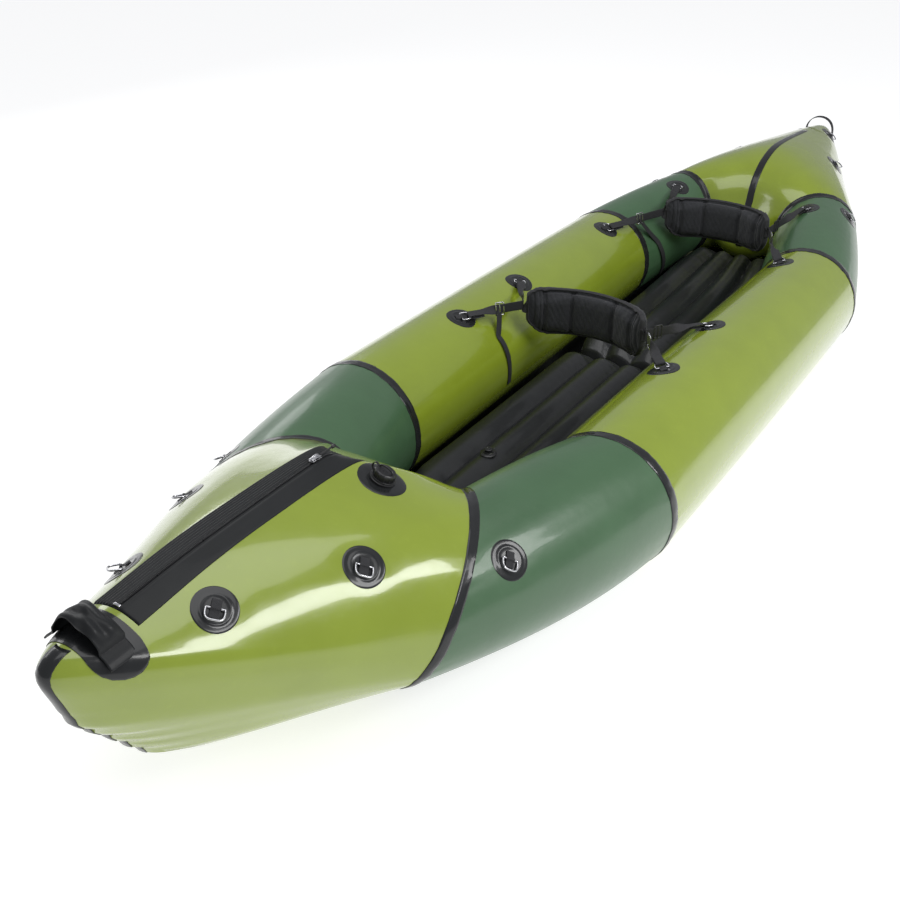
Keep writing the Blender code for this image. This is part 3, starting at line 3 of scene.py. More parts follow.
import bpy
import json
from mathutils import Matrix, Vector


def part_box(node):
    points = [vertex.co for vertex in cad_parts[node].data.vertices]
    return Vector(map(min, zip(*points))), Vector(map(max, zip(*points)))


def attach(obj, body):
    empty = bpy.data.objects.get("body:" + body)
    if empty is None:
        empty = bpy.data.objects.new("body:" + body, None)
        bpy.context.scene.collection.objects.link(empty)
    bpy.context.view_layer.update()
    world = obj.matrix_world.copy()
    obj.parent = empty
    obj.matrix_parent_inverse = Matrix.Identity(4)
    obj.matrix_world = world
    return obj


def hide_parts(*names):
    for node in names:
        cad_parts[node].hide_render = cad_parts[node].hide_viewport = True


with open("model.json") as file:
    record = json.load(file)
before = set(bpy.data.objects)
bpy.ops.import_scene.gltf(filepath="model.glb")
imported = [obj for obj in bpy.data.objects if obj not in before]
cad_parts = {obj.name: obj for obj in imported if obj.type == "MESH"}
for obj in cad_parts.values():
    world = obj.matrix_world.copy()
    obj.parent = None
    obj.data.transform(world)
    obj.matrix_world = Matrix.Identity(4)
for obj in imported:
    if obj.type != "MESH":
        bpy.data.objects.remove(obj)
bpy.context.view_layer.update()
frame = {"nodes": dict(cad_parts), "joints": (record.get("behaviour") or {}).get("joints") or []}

import json
import logging
import math
from collections.abc import Sequence
from dataclasses import dataclass, field
from enum import Enum
from functools import partialmethod

import bmesh
import bpy
import numpy as np
from mathutils import Matrix, Vector
from mathutils.bvhtree import BVHTree

LOG = logging.getLogger("packraft")

Colour = tuple[float, float, float]
Profile = tuple[tuple[float, float], ...]
Array = np.ndarray
Mesh = bmesh.types.BMesh
Object = bpy.types.Object

# The counts of the CAD loops, which set how far its facets lie inside its round forms
CAD_SIDES = 28
FLAT_SHARE = math.cos(math.pi / CAD_SIDES)
ROUND_SHARE = (1 + FLAT_SHARE) / 2
GROUND = 0.0012
# Every skin's loop has the same points, counted up from the side that looks out
AROUND = 168
QUARTER = AROUND // 4
ANGLES = (np.arange(AROUND) + 0.5) * math.tau / AROUND
CURVE_STEPS = 24
MERGE = 1e-6
ACROSS = Vector((1, 0, 0))
AHEAD = Vector((0, 1, 0))
UP = Vector((0, 0, 1))


class Side(Enum):
    """The two sides of the boat; the value is the sign of X."""

    PORT = 1
    STARBOARD = -1

    @property
    def word(self) -> str:
        """The side as it stands in a node's name."""
        return self.name.lower()


# ---- Shader sockets and finishes


class Signal:
    """A shader socket that works in Python expressions, each operator adding its Math node."""

    def __init__(self, paint: "Paint", socket: bpy.types.NodeSocket) -> None:
        """Wraps one output socket of a material's tree."""
        self.paint = paint
        self.socket = socket

    def _math(self, operation: str, other: object, flipped: bool = False) -> "Signal":
        """Adds one Math node on this value and another.

        Args:
            operation: the Math node's operation.
            other: a number or a Signal.
            flipped: whether the other one comes first.

        Returns:
            The node's value.
        """
        first, second = (other, self) if flipped else (self, other)
        node = self.paint.node("ShaderNodeMath", {"operation": operation}, {0: first, 1: second})
        return Signal(self.paint, node.outputs[0])

    __add__ = partialmethod(_math, "ADD")
    __radd__ = partialmethod(_math, "ADD", flipped=True)
    __sub__ = partialmethod(_math, "SUBTRACT")
    __rsub__ = partialmethod(_math, "SUBTRACT", flipped=True)
    __mul__ = partialmethod(_math, "MULTIPLY")
    __rmul__ = partialmethod(_math, "MULTIPLY", flipped=True)

    def wave(self, pitch: float) -> "Signal":
        """A smooth wave from 0 to 1 of a length in metres."""
        return (self * (math.tau / pitch))._math("SINE", 0.0) * 0.5 + 0.5

    def between(self, low: float, high: float) -> "Signal":
        """0 below low, 1 above high, and smooth between them."""
        node = self.paint.node(
            "ShaderNodeMapRange", {"interpolation_type": "SMOOTHSTEP"},
            {"Value": self, "From Min": low, "From Max": high},
        )
        return Signal(self.paint, node.outputs[0])


class Paint:
    """One material's tree, with the few nodes that the finishes use."""

    def __init__(self, name: str) -> None:
        """Makes the material with its Principled shader."""
        self.material = bpy.data.materials.new(name)
        self.material.use_nodes = True
        self.tree = self.material.node_tree
        self.shader = self.tree.nodes["Principled BSDF"]

    def node(self, kind: str, settings: dict, inputs: dict) -> bpy.types.Node:
        """Adds a node.

        Args:
            kind: the node's type.
            settings: attributes, set before the sockets.
            inputs: numbers, tuples or Signals by socket name or number.

        Returns:
            The node.
        """
        node = self.tree.nodes.new(kind)
        for key, value in settings.items():
            setattr(node, key, value)
        for key, value in inputs.items():
            self.feed(node.inputs[key], value)
        return node

    def feed(self, socket: bpy.types.NodeSocket, value: object) -> None:
        """Sets a socket to a number or links a Signal to it."""
        if isinstance(value, Signal):
            self.tree.links.new(value.socket, socket)
        else:
            socket.default_value = value

    def set(self, **values: object) -> None:
        """Feeds the shader's sockets, named with underscores for spaces."""
        for key, value in values.items():
            self.feed(self.shader.inputs[key.replace("_", " ")], value)

    def place(self, kind: str) -> Signal:
        """The Object or UV coordinates."""
        return Signal(self, self.node("ShaderNodeTexCoord", {}, {}).outputs[kind])

    def axes(self, kind: str) -> list[Signal]:
        """The coordinates as three values."""
        node = self.node("ShaderNodeSeparateXYZ", {}, {0: self.place(kind)})
        return [Signal(self, output) for output in node.outputs]

    def noise(self, scale: float, detail: float) -> Signal:
        """A smooth noise around one half, scale being waves in a metre."""
        node = self.node(
            "ShaderNodeTexNoise", {},
            {"Vector": self.place("Object"), "Scale": scale, "Detail": detail},
        )
        return Signal(self, node.outputs[0])

    def mix(self, share: Signal, first: object, second: object) -> Signal:
        """Blends two colours, each a Signal or three numbers."""
        first, second = (
            colour if isinstance(colour, Signal) else (*colour, 1.0) for colour in (first, second)
        )
        node = self.node(
            "ShaderNodeMix", {"data_type": "RGBA"}, {0: share, 6: first, 7: second}
        )
        return Signal(self, node.outputs[2])

    def bump(self, height: Signal, distance: float, strength: float) -> None:
        """Turns a height into the shader's normal."""
        node = self.node(
            "ShaderNodeBump", {}, {"Height": height, "Distance": distance, "Strength": strength}
        )
        self.set(Normal=Signal(self, node.outputs[0]))


@dataclass(frozen=True)
class Finish:
    """A finish in shades of one colour."""

    name: str
    colour: Colour

    def shade(self, share: float) -> Colour:
        """The colour scaled up or down."""
        return tuple(min(1.0, part * share) for part in self.colour)

    def dress(self, paint: Paint) -> None:
        """Adds the nodes of this kind of finish."""
        raise NotImplementedError

    def material(self) -> bpy.types.Material:
        """Builds the material."""
        paint = Paint(self.name)
        self.dress(paint)
        return paint.material


@dataclass(frozen=True)
class CoatedCloth(Finish):
    """Welded coated nylon: smooth, glossy, faintly mottled, a fine grid showing close up."""

    roughness: float = 0.24
    coat: float = 0.35
    mottle: float = 0.10
    shine: float = 0.5
    thread: float = 0.0014

    def dress(self, paint: Paint) -> None:
        """Adds the cloudy tone, the dirt, the weave and the crinkles."""
        cloud = paint.noise(scale=9.0, detail=2.0)
        dirt = paint.noise(scale=60.0, detail=4.0)
        crinkle = paint.noise(scale=24.0, detail=3.0)
        tone = paint.mix(cloud, self.shade(1 - self.mottle), self.shade(1 + self.mottle))
        across, along, _ = paint.axes("UV")
        grid = across.wave(self.thread) * along.wave(self.thread)
        paint.set(
            Base_Color=paint.mix(dirt.between(0.55, 0.9) * 0.25, tone, self.shade(1.3)),
            Roughness=self.roughness + (dirt - 0.5) * 0.12 + (cloud - 0.5) * 0.08,
            Specular_IOR_Level=self.shine,
            Coat_Weight=self.coat,
            Coat_Roughness=0.07,
        )
        paint.bump(grid * 0.012 + crinkle * 0.7, distance=0.0020, strength=0.5)


@dataclass(frozen=True)
class Woven(Finish):
    """Webbing: ribs across the band, a little fluff in its roughness."""

    rib: float = 0.0022
    roughness: float = 0.72

    def dress(self, paint: Paint) -> None:
        """Adds the twill, its ridges and the fluff."""
        across, along, _ = paint.axes("UV")
        twill = (along + across * 0.6).wave(self.rib)
        ridge = across.wave(self.rib * 1.6)
        fluff = paint.noise(scale=500.0, detail=3.0)
        paint.set(
            Base_Color=paint.mix(twill * 0.6 + fluff * 0.4, self.shade(0.6), self.shade(1.9)),
            Roughness=self.roughness + (fluff - 0.5) * 0.2,
        )
        paint.bump(twill * 0.7 + ridge * 0.3, distance=0.0005, strength=0.8)


@dataclass(frozen=True)
class PadCloth(Finish):
    """The pads' brushed cover cloth with a square weave."""

    thread: float = 0.0016

    def dress(self, paint: Paint) -> None:
        """Adds the weave, the nap's clouds and the fluff."""
        x, y, z = paint.axes("Object")
        weave = (x + y * 0.4).wave(self.thread) * (z + y * 0.3).wave(self.thread)
        cloud = paint.noise(scale=30.0, detail=4.0)
        fluff = paint.noise(scale=700.0, detail=2.0)
        paint.set(
            Base_Color=paint.mix(weave * 0.5 + fluff * 0.5, self.shade(0.65), self.shade(1.8)),
            Roughness=0.78 + (cloud - 0.5) * 0.2,
            Sheen_Weight=0.15,
        )
        paint.bump(weave * 0.4 + cloud * 1.2 + fluff * 0.25, distance=0.0012, strength=0.7)


@dataclass(frozen=True)
class Moulded(Finish):
    """Moulded plastic with a fine eroded grain."""

    roughness: float = 0.32

    def dress(self, paint: Paint) -> None:
        """Adds the grain and the scuffs."""
        grain = paint.noise(scale=900.0, detail=2.0)
        scuff = paint.noise(scale=140.0, detail=5.0)
        paint.set(
            Base_Color=paint.mix(scuff.between(0.5, 0.8) * 0.5, self.colour, self.shade(2.2)),
            Roughness=self.roughness + (scuff - 0.5) * 0.25,
        )
        paint.bump(grain + scuff * 0.6, distance=0.0002, strength=0.5)


@dataclass(frozen=True)
class Plated(Finish):
    """Bright plated wire, with draw lines and duller spots."""

    roughness: float = 0.20

    def dress(self, paint: Paint) -> None:
        """Adds the spots and the draw lines."""
        spots = paint.noise(scale=420.0, detail=5.0)
        lines = paint.noise(scale=1500.0, detail=2.0)
        paint.set(
            Base_Color=paint.mix(spots.between(0.45, 0.75), self.colour, self.shade(0.72)),
            Roughness=self.roughness + (spots - 0.5) * 0.2,
            Metallic=1.0,
        )
        paint.bump(lines + spots, distance=0.0001, strength=0.5)


LIME = (0.246, 0.318, 0.024)
FOREST = (0.058, 0.128, 0.060)
BLACK = (0.016, 0.017, 0.018)
WEBBING_BLACK = (0.017, 0.017, 0.019)
CORD_BLACK = (0.017, 0.017, 0.018)
PAD_BLACK = (0.017, 0.018, 0.022)
PLASTIC_BLACK = (0.012, 0.012, 0.013)
BRIGHT = (0.62, 0.62, 0.64)


class Finishes:
    """Every finish of the boat, each built once."""

    def __init__(self) -> None:
        """Builds the materials."""
        self.lime = CoatedCloth("lime_coated_cloth", LIME, roughness=0.22, coat=0.85).material()
        self.forest = CoatedCloth("forest_coated_cloth", FOREST, roughness=0.34, coat=0.25,
                                  mottle=0.14).material()
        self.tape = CoatedCloth("black_seam_tape", BLACK, roughness=0.24, coat=0.30,
                                mottle=0.2, shine=0.3).material()
        self.ribbed = CoatedCloth("black_zip_strip", BLACK, roughness=0.44, coat=0.04,
                                  mottle=0.2, shine=0.18).material()
        self.mat = CoatedCloth("black_mat_cloth", BLACK, roughness=0.36, coat=0.20,
                               mottle=0.25, shine=0.4).material()
        self.webbing = Woven("black_webbing", WEBBING_BLACK).material()
        self.cord = Woven("black_cord", CORD_BLACK, rib=0.0012, roughness=0.6).material()
        self.padding = PadCloth("black_pad_cloth", PAD_BLACK).material()
        self.plastic = Moulded("black_moulding", PLASTIC_BLACK).material()
        self.steel = Plated("bright_steel", BRIGHT).material()


# ---- Mesh tools


def unit(vectors: Array) -> Array:
    """Vectors at length one."""
    return vectors / np.maximum(np.linalg.norm(vectors, axis=-1, keepdims=True), 1e-12)


def distances(path: Array) -> Array:
    """How far along a path each of its points is."""
    return np.concatenate([[0.0], np.cumsum(np.linalg.norm(np.diff(path, axis=0), axis=1))])


def picked(path: Array, shares: Array) -> Array:
    """Points at shares of a path's length."""
    length = distances(path)
    return np.stack([np.interp(shares * length[-1], length, line) for line in path.T], -1)


def respaced(path: Array, count: int) -> Array:
    """A path's points, evenly spaced."""
    return picked(path, np.linspace(0, 1, count))


def curved(a: Array, b: Array, c: Array, d: Array) -> Array:
    """Points of a smooth curve from b up to c, with its neighbours a and d."""
    t = np.linspace(0, 1, CURVE_STEPS, endpoint=False)[:, None]
    return 0.5 * (2 * b + (c - a) * t + (2 * a - 5 * b + 4 * c - d) * t**2
                  + (3 * b - a - 3 * c + d) * t**3)


def eased(points: Sequence[Sequence[float]], count: int) -> Array:
    """Evenly spaced points on a smooth curve through some points."""
    given = np.array(points, float)
    padded = np.concatenate([[2 * given[0] - given[1]], given, [2 * given[-1] - given[-2]]])
    spans = [curved(*four) for four in zip(padded, padded[1:], padded[2:], padded[3:])]
    return respaced(np.concatenate([*spans, given[-1:]]), count)


def repeated(way: Sequence[float], path: Array) -> Array:
    """One direction, once for each point of a path."""
    return np.broadcast_to(np.array(way), path.shape)


def dented(values: Array, width: float) -> Array:
    """A smooth bump of height one where the values are 0."""
    return np.exp(-((values / width) ** 2))


def framed(spot: Sequence[float], *axes: Vector) -> Matrix:
    """The frame at a spot with three given axes, or with the one given as its Z axis."""
    if len(axes) == 1:
        turn = UP.rotation_difference(axes[0]).to_matrix()
    else:
        turn = Matrix(axes).transposed()
    return Matrix.Translation(spot) @ turn.to_4x4()


def in_plane(way: Vector, normal: Vector) -> Vector:
    """A direction, laid into the plane across a normal."""
    return (way - normal * way.dot(normal)).normalized()


def grid_mesh(
    points: Array, wrap: bool = False, caps: bool = False, core: Array | None = None
) -> Mesh:
    """Lays a grid of faces through rows of points, with a UV map in metres.

    Args:
        points: rows, columns and coordinates.
        wrap: whether the last column meets the first.
        caps: whether the first and last rows are filled.
        core: a point, or one for each row, that the faces look away from.

    Returns:
        The mesh.
    """
    rows = len(points)
    full = np.concatenate([points, points[:, :1]], axis=1) if wrap else points
    columns = full.shape[1]
    bm = bmesh.new()
    layer = bm.loops.layers.uv.new("UVMap")
    bmesh.ops.create_grid(bm, x_segments=columns - 1, y_segments=rows - 1, size=1.0)
    bm.verts.ensure_lookup_table()
    across = np.linalg.norm(np.diff(full, axis=1), axis=2).mean(0)
    along = np.linalg.norm(np.diff(full, axis=0), axis=2).mean(1)
    u = np.concatenate([[0.0], np.cumsum(across)])
    v = np.concatenate([[0.0], np.cumsum(along)])
    for index, vert in enumerate(bm.verts):
        vert.co = full[index // columns, index % columns]
    for face in bm.faces:
        for loop in face.loops:
            row, column = divmod(loop.vert.index, columns)
            loop[layer].uv = (u[column], v[row])
    bm.normal_update()
    cores = full.mean(1) if core is None else np.broadcast_to(core, (rows, 3))
    outward = 0.0
    for face in bm.faces:
        row = face.verts[0].index // columns
        outward += (face.calc_center_median() - Vector(cores[row])).dot(face.normal)
    if wrap:
        pairs = {bm.verts[r * columns + columns - 1]: bm.verts[r * columns] for r in range(rows)}
        bmesh.ops.weld_verts(bm, targetmap=pairs)
    if outward < 0:
        bmesh.ops.reverse_faces(bm, faces=bm.faces)
    if caps:
        ends = [edge for edge in bm.edges if edge.is_boundary]
        bmesh.ops.holes_fill(bm, edges=ends, sides=0)
    bm.normal_update()
    return bm


def close_shut(bm: Mesh) -> Mesh:
    """Turns a closed mesh's faces outwards."""
    bmesh.ops.recalc_face_normals(bm, faces=bm.faces)
    return bm


def mapped(bm: Mesh) -> Mesh:
    """Gives a mesh the UV map that it has when seen from above, in metres."""
    layer = bm.loops.layers.uv.verify()
    for face in bm.faces:
        for loop in face.loops:
            loop[layer].uv = loop.vert.co.xy
    return bm


def soften(
    bm: Mesh, offset: float, segments: int,
    edges: Sequence[bmesh.types.BMEdge] | None = None,
) -> None:
    """Rounds some edges of a mesh, or all of them."""
    bmesh.ops.bevel(bm, geom=edges or bm.edges[:], offset=offset, segments=segments,
                    affect="EDGES", profile=0.5, material=-1)


def piece(
    name: str, bm: Mesh, material: bpy.types.Material, body: str,
    nodes: Sequence[str] = (), crease: float = 40.0,
) -> Object:
    """Makes a finished piece of the object.

    Args:
        name: the piece's name.
        bm: its mesh, in the boat's own frame.
        material: its finish.
        body: the CAD body that it moves with.
        nodes: the CAD nodes that it stands for.
        crease: the angle in degrees past which an edge shades sharp.

    Returns:
        The object.
    """
    mesh = bpy.data.meshes.new(name)
    bm.to_mesh(mesh)
    bm.free()
    mesh.materials.append(material)
    mesh.shade_smooth()
    mesh.set_sharp_from_angle(angle=math.radians(crease))
    made = bpy.data.objects.new(name, mesh)
    bpy.context.scene.collection.objects.link(made)
    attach(made, body)
    if nodes:
        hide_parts(*nodes)
    LOG.info("%s: %d faces, rides on %s", name, len(mesh.polygons), body)
    return made


def thicken(made: Object, depth: float, offset: float = -1.0) -> Object:
    """Gives an open surface its thickness, inwards unless offset says otherwise."""
    step = made.modifiers.new("thickness", "SOLIDIFY")
    step.thickness = depth
    step.offset = offset
    return made


def tube(path: Array, radius: float, sides: int, closed: bool = False) -> Mesh:
    """A round bar along a path.

    Args:
        path: its centre line, flat where the bar is closed.
        radius: its radius.
        sides: how many sides it has.
        closed: whether its end meets its start.

    Returns:
        The closed mesh.
    """
    if closed:
        tangent = unit(np.roll(path, -1, 0) - np.roll(path, 1, 0))
        flat = unit(np.cross(path[len(path) // 3] - path[0], path[2 * len(path) // 3] - path[0]))
        side = np.broadcast_to(flat, path.shape)
    else:
        tangent = unit(np.gradient(path, axis=0))
        carried = [np.cross(tangent[0], (0.3, 0.5, 0.81))]
        for aim in tangent:
            carried.append(unit(carried[-1] - aim * np.dot(carried[-1], aim)))
        side = np.array(carried[1:])
    other = np.cross(tangent, side)
    turn = np.arange(sides) * math.tau / sides
    spokes = np.cos(turn)[:, None] * side[:, None] + np.sin(turn)[:, None] * other[:, None]
    return swept(path[:, None] + spokes * radius, closed)


def swept(rows: Array, closed: bool = False) -> Mesh:
    """A closed mesh through rows of points, its last row capped or joined to its first."""
    if not closed:
        return close_shut(grid_mesh(rows, wrap=True, caps=True))
    bm = grid_mesh(np.concatenate([rows, rows[:1]]), wrap=True)
    bmesh.ops.remove_doubles(bm, verts=bm.verts, dist=MERGE)
    return close_shut(bm)


# Half of the outline of webbing, as shares of half its width and half its thickness
BAND_EDGE = ((-0.97, 0.8), (-0.90, 1.0), (-0.5, 1.0), (0.0, 1.0), (0.5, 1.0), (0.90, 1.0),
             (0.97, 0.8))


def band(path: Array, sides: Array, widths: float | Array, thickness: float) -> Mesh:
    """Webbing along a path, with soft edges.

    Args:
        path: the middle of the webbing.
        sides: the way its width runs, at each point.
        widths: its width, or one for each point.
        thickness: its thickness.

    Returns:
        The closed mesh.
    """
    tangent = unit(np.gradient(path, axis=0))
    out = unit(np.cross(sides, tangent))
    across = unit(np.cross(tangent, out)) * (np.broadcast_to(widths, len(path))[:, None] / 2)
    out = out * (thickness / 2)
    outline = [(-1.0, 0.0), *BAND_EDGE, (1.0, 0.0), *((-a, -b) for a, b in BAND_EDGE)]
    return swept(np.stack([path + across * a + out * b for a, b in outline], axis=1))


def spun(profile: Sequence[tuple[float, float]], sides: int) -> Mesh:
    """A turned form about Z from (radius, height) points, its first and last on the axis."""
    bm = bmesh.new()
    verts = [bm.verts.new((radius, 0, height)) for radius, height in profile]
    edges = [bm.edges.new(pair) for pair in zip(verts, verts[1:])]
    bmesh.ops.spin(
        bm, geom=verts + edges, cent=(0, 0, 0), axis=UP, dvec=(0, 0, 0),
        angle=math.tau, steps=sides, use_merge=True, use_duplicate=False,
    )
    bmesh.ops.remove_doubles(bm, verts=bm.verts, dist=MERGE)
    return close_shut(bm)


# ---- The hull's own lines

# How far each point of a loop lies on its lower outer quarter, and on its lower half
LOW = np.maximum(0.0, np.cos(ANGLES + math.radians(45)))
UNDER = np.maximum(0.0, -np.sin(ANGLES))


@dataclass(frozen=True)
class Run:
    """A tapering tube on the port side, from one centre and radius to another."""

    start: tuple[float, float, float]
    start_radius: float
    end: tuple[float, float, float]
    end_radius: float

    def cut(self, share: float, facing: Sequence[float]) -> Array:
        """The loop where the tube meets a plane at a share of its length."""
        start = np.array(self.start)
        along = np.array(self.end) - start
        length = np.linalg.norm(along)
        along = along / length
        taper = (self.end_radius - self.start_radius) / length
        across = unit(np.cross(along, (0, 0, 1)))
        across = across if across[0] > 0 else -across
        up = np.cross(across, along)
        up = up if up[2] > 0 else -up
        normal = unit(np.array(facing))
        spoke = across * np.cos(ANGLES)[:, None] + up * np.sin(ANGLES)[:, None]
        place = along * (length * share)
        reach = place @ normal - self.start_radius * (spoke @ normal)
        reach = reach / (along @ normal + taper * (spoke @ normal))
        radius = (self.start_radius + taper * reach) * ROUND_SHARE
        return start + along * reach[:, None] + spoke * radius[:, None]


@dataclass(frozen=True)
class EndPiece:
    """The bow or stern: its outline on the centre line and how it swells."""

    sign: int
    wall: float
    reach: float
    height: float
    swell: float
    low_swell: float
    rounds: tuple[float, float, float, float]
    corners: tuple[int, int, int, int]
    outline: Profile

    def centre(self) -> Array:
        """The closed outline on the centre line, a quarter of the points between corners."""
        start, end = self.sign * self.wall, self.sign * self.reach
        points = np.array([(0.0, start + (end - start) * a, self.height * b)
                           for a, b in self.outline])
        count = len(points)
        shares = (np.arange(QUARTER) + 0.5) / QUARTER
        loop = []
        for first, last in zip(self.corners, (*self.corners[1:], count)):
            spans = [curved(*(points[(index + k) % count] for k in (-1, 0, 1, 2)))
                     for index in range(first, last)]
            loop.append(picked(np.concatenate([*spans, [points[last % count]]]), shares))
        return np.concatenate(loop)

    def rows(self, seam: Array, shares: Array) -> Array:
        """Loops from the seam, at share 1, to the centre line, at share 0."""
        centre = self.centre()
        turn = (ANGLES % math.tau) / (math.tau / 4)
        first = turn.astype(int) % 4
        part = (1 - np.cos((turn - turn.astype(int)) * math.pi)) / 2
        values = np.array(self.rounds)
        soft = values[first] * (1 - part) + values[(first + 1) % 4] * part
        swell = self.swell + (self.low_swell - self.swell) * LOW
        made = []
        for share in shares:
            rise = (np.hypot(share, soft) - soft) / (np.hypot(1, soft) - soft)
            loop = centre + (seam - centre) * rise[:, None]
            loop[:, 0] = seam[:, 0] * share
            core = seam.mean(0) * share + centre.mean(0) * (1 - share)
            lift = swell * 27 / 4 * share * share * (1 - share)
            made.append(loop + unit(loop - core) * lift[:, None])
        return np.array(made)


BOW = EndPiece(
    -1, 0.905, 1.768, 0.424, 0.011, -0.006, (0.12, 0.35, 0.90, 0.40), (0, 5, 10, 14),
    ((1.000, 0.895), (0.973, 0.950), (0.926, 0.958), (0.820, 0.966), (0.680, 0.984),
     (0.529, 0.990), (0.291, 0.986), (0.227, 0.931), (0.134, 0.826), (0.052, 0.684),
     (0.000, 0.470), (0.017, 0.240), (0.087, 0.140), (0.285, 0.125), (0.517, 0.143),
     (0.692, 0.195), (0.824, 0.305), (0.884, 0.445), (0.925, 0.550), (0.962, 0.645),
     (0.983, 0.765)),
)
STERN = EndPiece(
    1, 0.960, 1.763, 0.397, 0.008, -0.008, (0.10, 0.30, 0.90, 0.40), (0, 6, 12, 16),
    ((1.000, 0.756), (0.984, 0.839), (0.919, 0.887), (0.795, 0.922), (0.601, 0.960),
     (0.422, 0.990), (0.286, 0.992), (0.178, 0.942), (0.112, 0.861), (0.075, 0.768),
     (0.055, 0.660), (0.019, 0.479), (0.000, 0.327), (0.031, 0.214), (0.099, 0.176),
     (0.285, 0.161), (0.538, 0.179), (0.728, 0.233), (0.867, 0.327), (0.956, 0.504),
     (0.994, 0.655)),
)
MIRROR = np.array([-1.0, 1.0, 1.0])
RING_SKINS: dict[str, str] = {
    "bow_forward": "bow_skin", "bow_middle": "bow_skin", "bow_aft": "front_panel",
    "stern_forward": "rear_panel", "stern_middle": "stern_skin", "stern_aft": "stern_skin",
    "front_seat_forward": "mid_tube", "front_seat_aft": "mid_tube",
    "rear_seat_forward": "mid_tube", "rear_seat_aft": "rear_panel",
}


class Surface:
    """A skin's outer face as rows of loops, with its normals and a tree for placing pieces."""

    def __init__(self, rows: Array) -> None:
        """Works out the normals of the rows."""
        self.rows = rows
        self.normals = self._normals(rows)
        self._tree: BVHTree | None = None

    @staticmethod
    def _normals(rows: Array) -> Array:
        """The way out at each point."""
        around = np.roll(rows, -1, axis=1) - np.roll(rows, 1, axis=1)
        along = np.gradient(rows, axis=0)
        normals = unit(np.cross(around, along))
        outward = ((rows - rows.mean(1, keepdims=True)) * normals).sum()
        return normals if outward > 0 else -normals

    def lift(self, heights: Array) -> "Surface":
        """A surface moved out by a height at each point, and never under the ground."""
        rows = self.rows + self.normals * heights[..., None]
        rows[..., 2] = np.maximum(rows[..., 2], GROUND)
        return Surface(rows)

    def over(self, spot: Sequence[float], height: float) -> Vector:
        """The point at a height over the skin, nearest to a spot."""
        hit, normal = self.nearest(Vector(spot))
        return hit + normal * height

    def depths(self, end: int) -> Array:
        """How far each point is from the first or last row, along the skin."""
        rows = self.rows if end == 0 else self.rows[::-1]
        steps = np.linalg.norm(np.diff(rows, axis=0), axis=2)
        found = np.concatenate([np.zeros((1, rows.shape[1])), np.cumsum(steps, axis=0)])
        return found if end == 0 else found[::-1]

    def loop_at(self, end: int, distance: float) -> tuple[Array, Array]:
        """The loop at a distance from an end, and its normals."""
        step = -1 if end else 1
        depth = self.depths(end)[::step]
        spots, ways = (
            np.array([[np.interp(distance, depth[:, j], line) for line in table[::step, j].T]
                      for j in range(AROUND)])
            for table in (self.rows, self.normals)
        )
        return spots, unit(ways)

    @property
    def tree(self) -> BVHTree:
        """The tree of its faces."""
        if self._tree is None:
            bm = grid_mesh(self.rows, wrap=True)
            self._tree = BVHTree.FromBMesh(bm)
            bm.free()
        return self._tree

    def nearest(self, spot: Vector) -> tuple[Vector, Vector]:
        """The nearest point of the skin, and the way out there."""
        hit, normal, _, _ = self.tree.find_nearest(spot)
        return hit, normal

    def below(self, x: float, y: float) -> tuple[Vector, Vector]:
        """The skin's upper side at a place in plan, and the way out there."""
        hit, normal, _, _ = self.tree.ray_cast(Vector((x, y, 1.0)), -UP)
        return hit, normal if normal.z > 0 else -normal


def uneven(angles: Array, seed: float) -> Array:
    """A fixed uneven wave round a loop, between about -1 and 1."""
    total = np.zeros_like(angles)
    for step, (waves, share) in enumerate(((11, 0.3), (17, 0.35), (29, 0.3), (43, 0.2))):
        total += share * np.sin(waves * angles + seed * (step + 1.7) * 2.3)
    return total


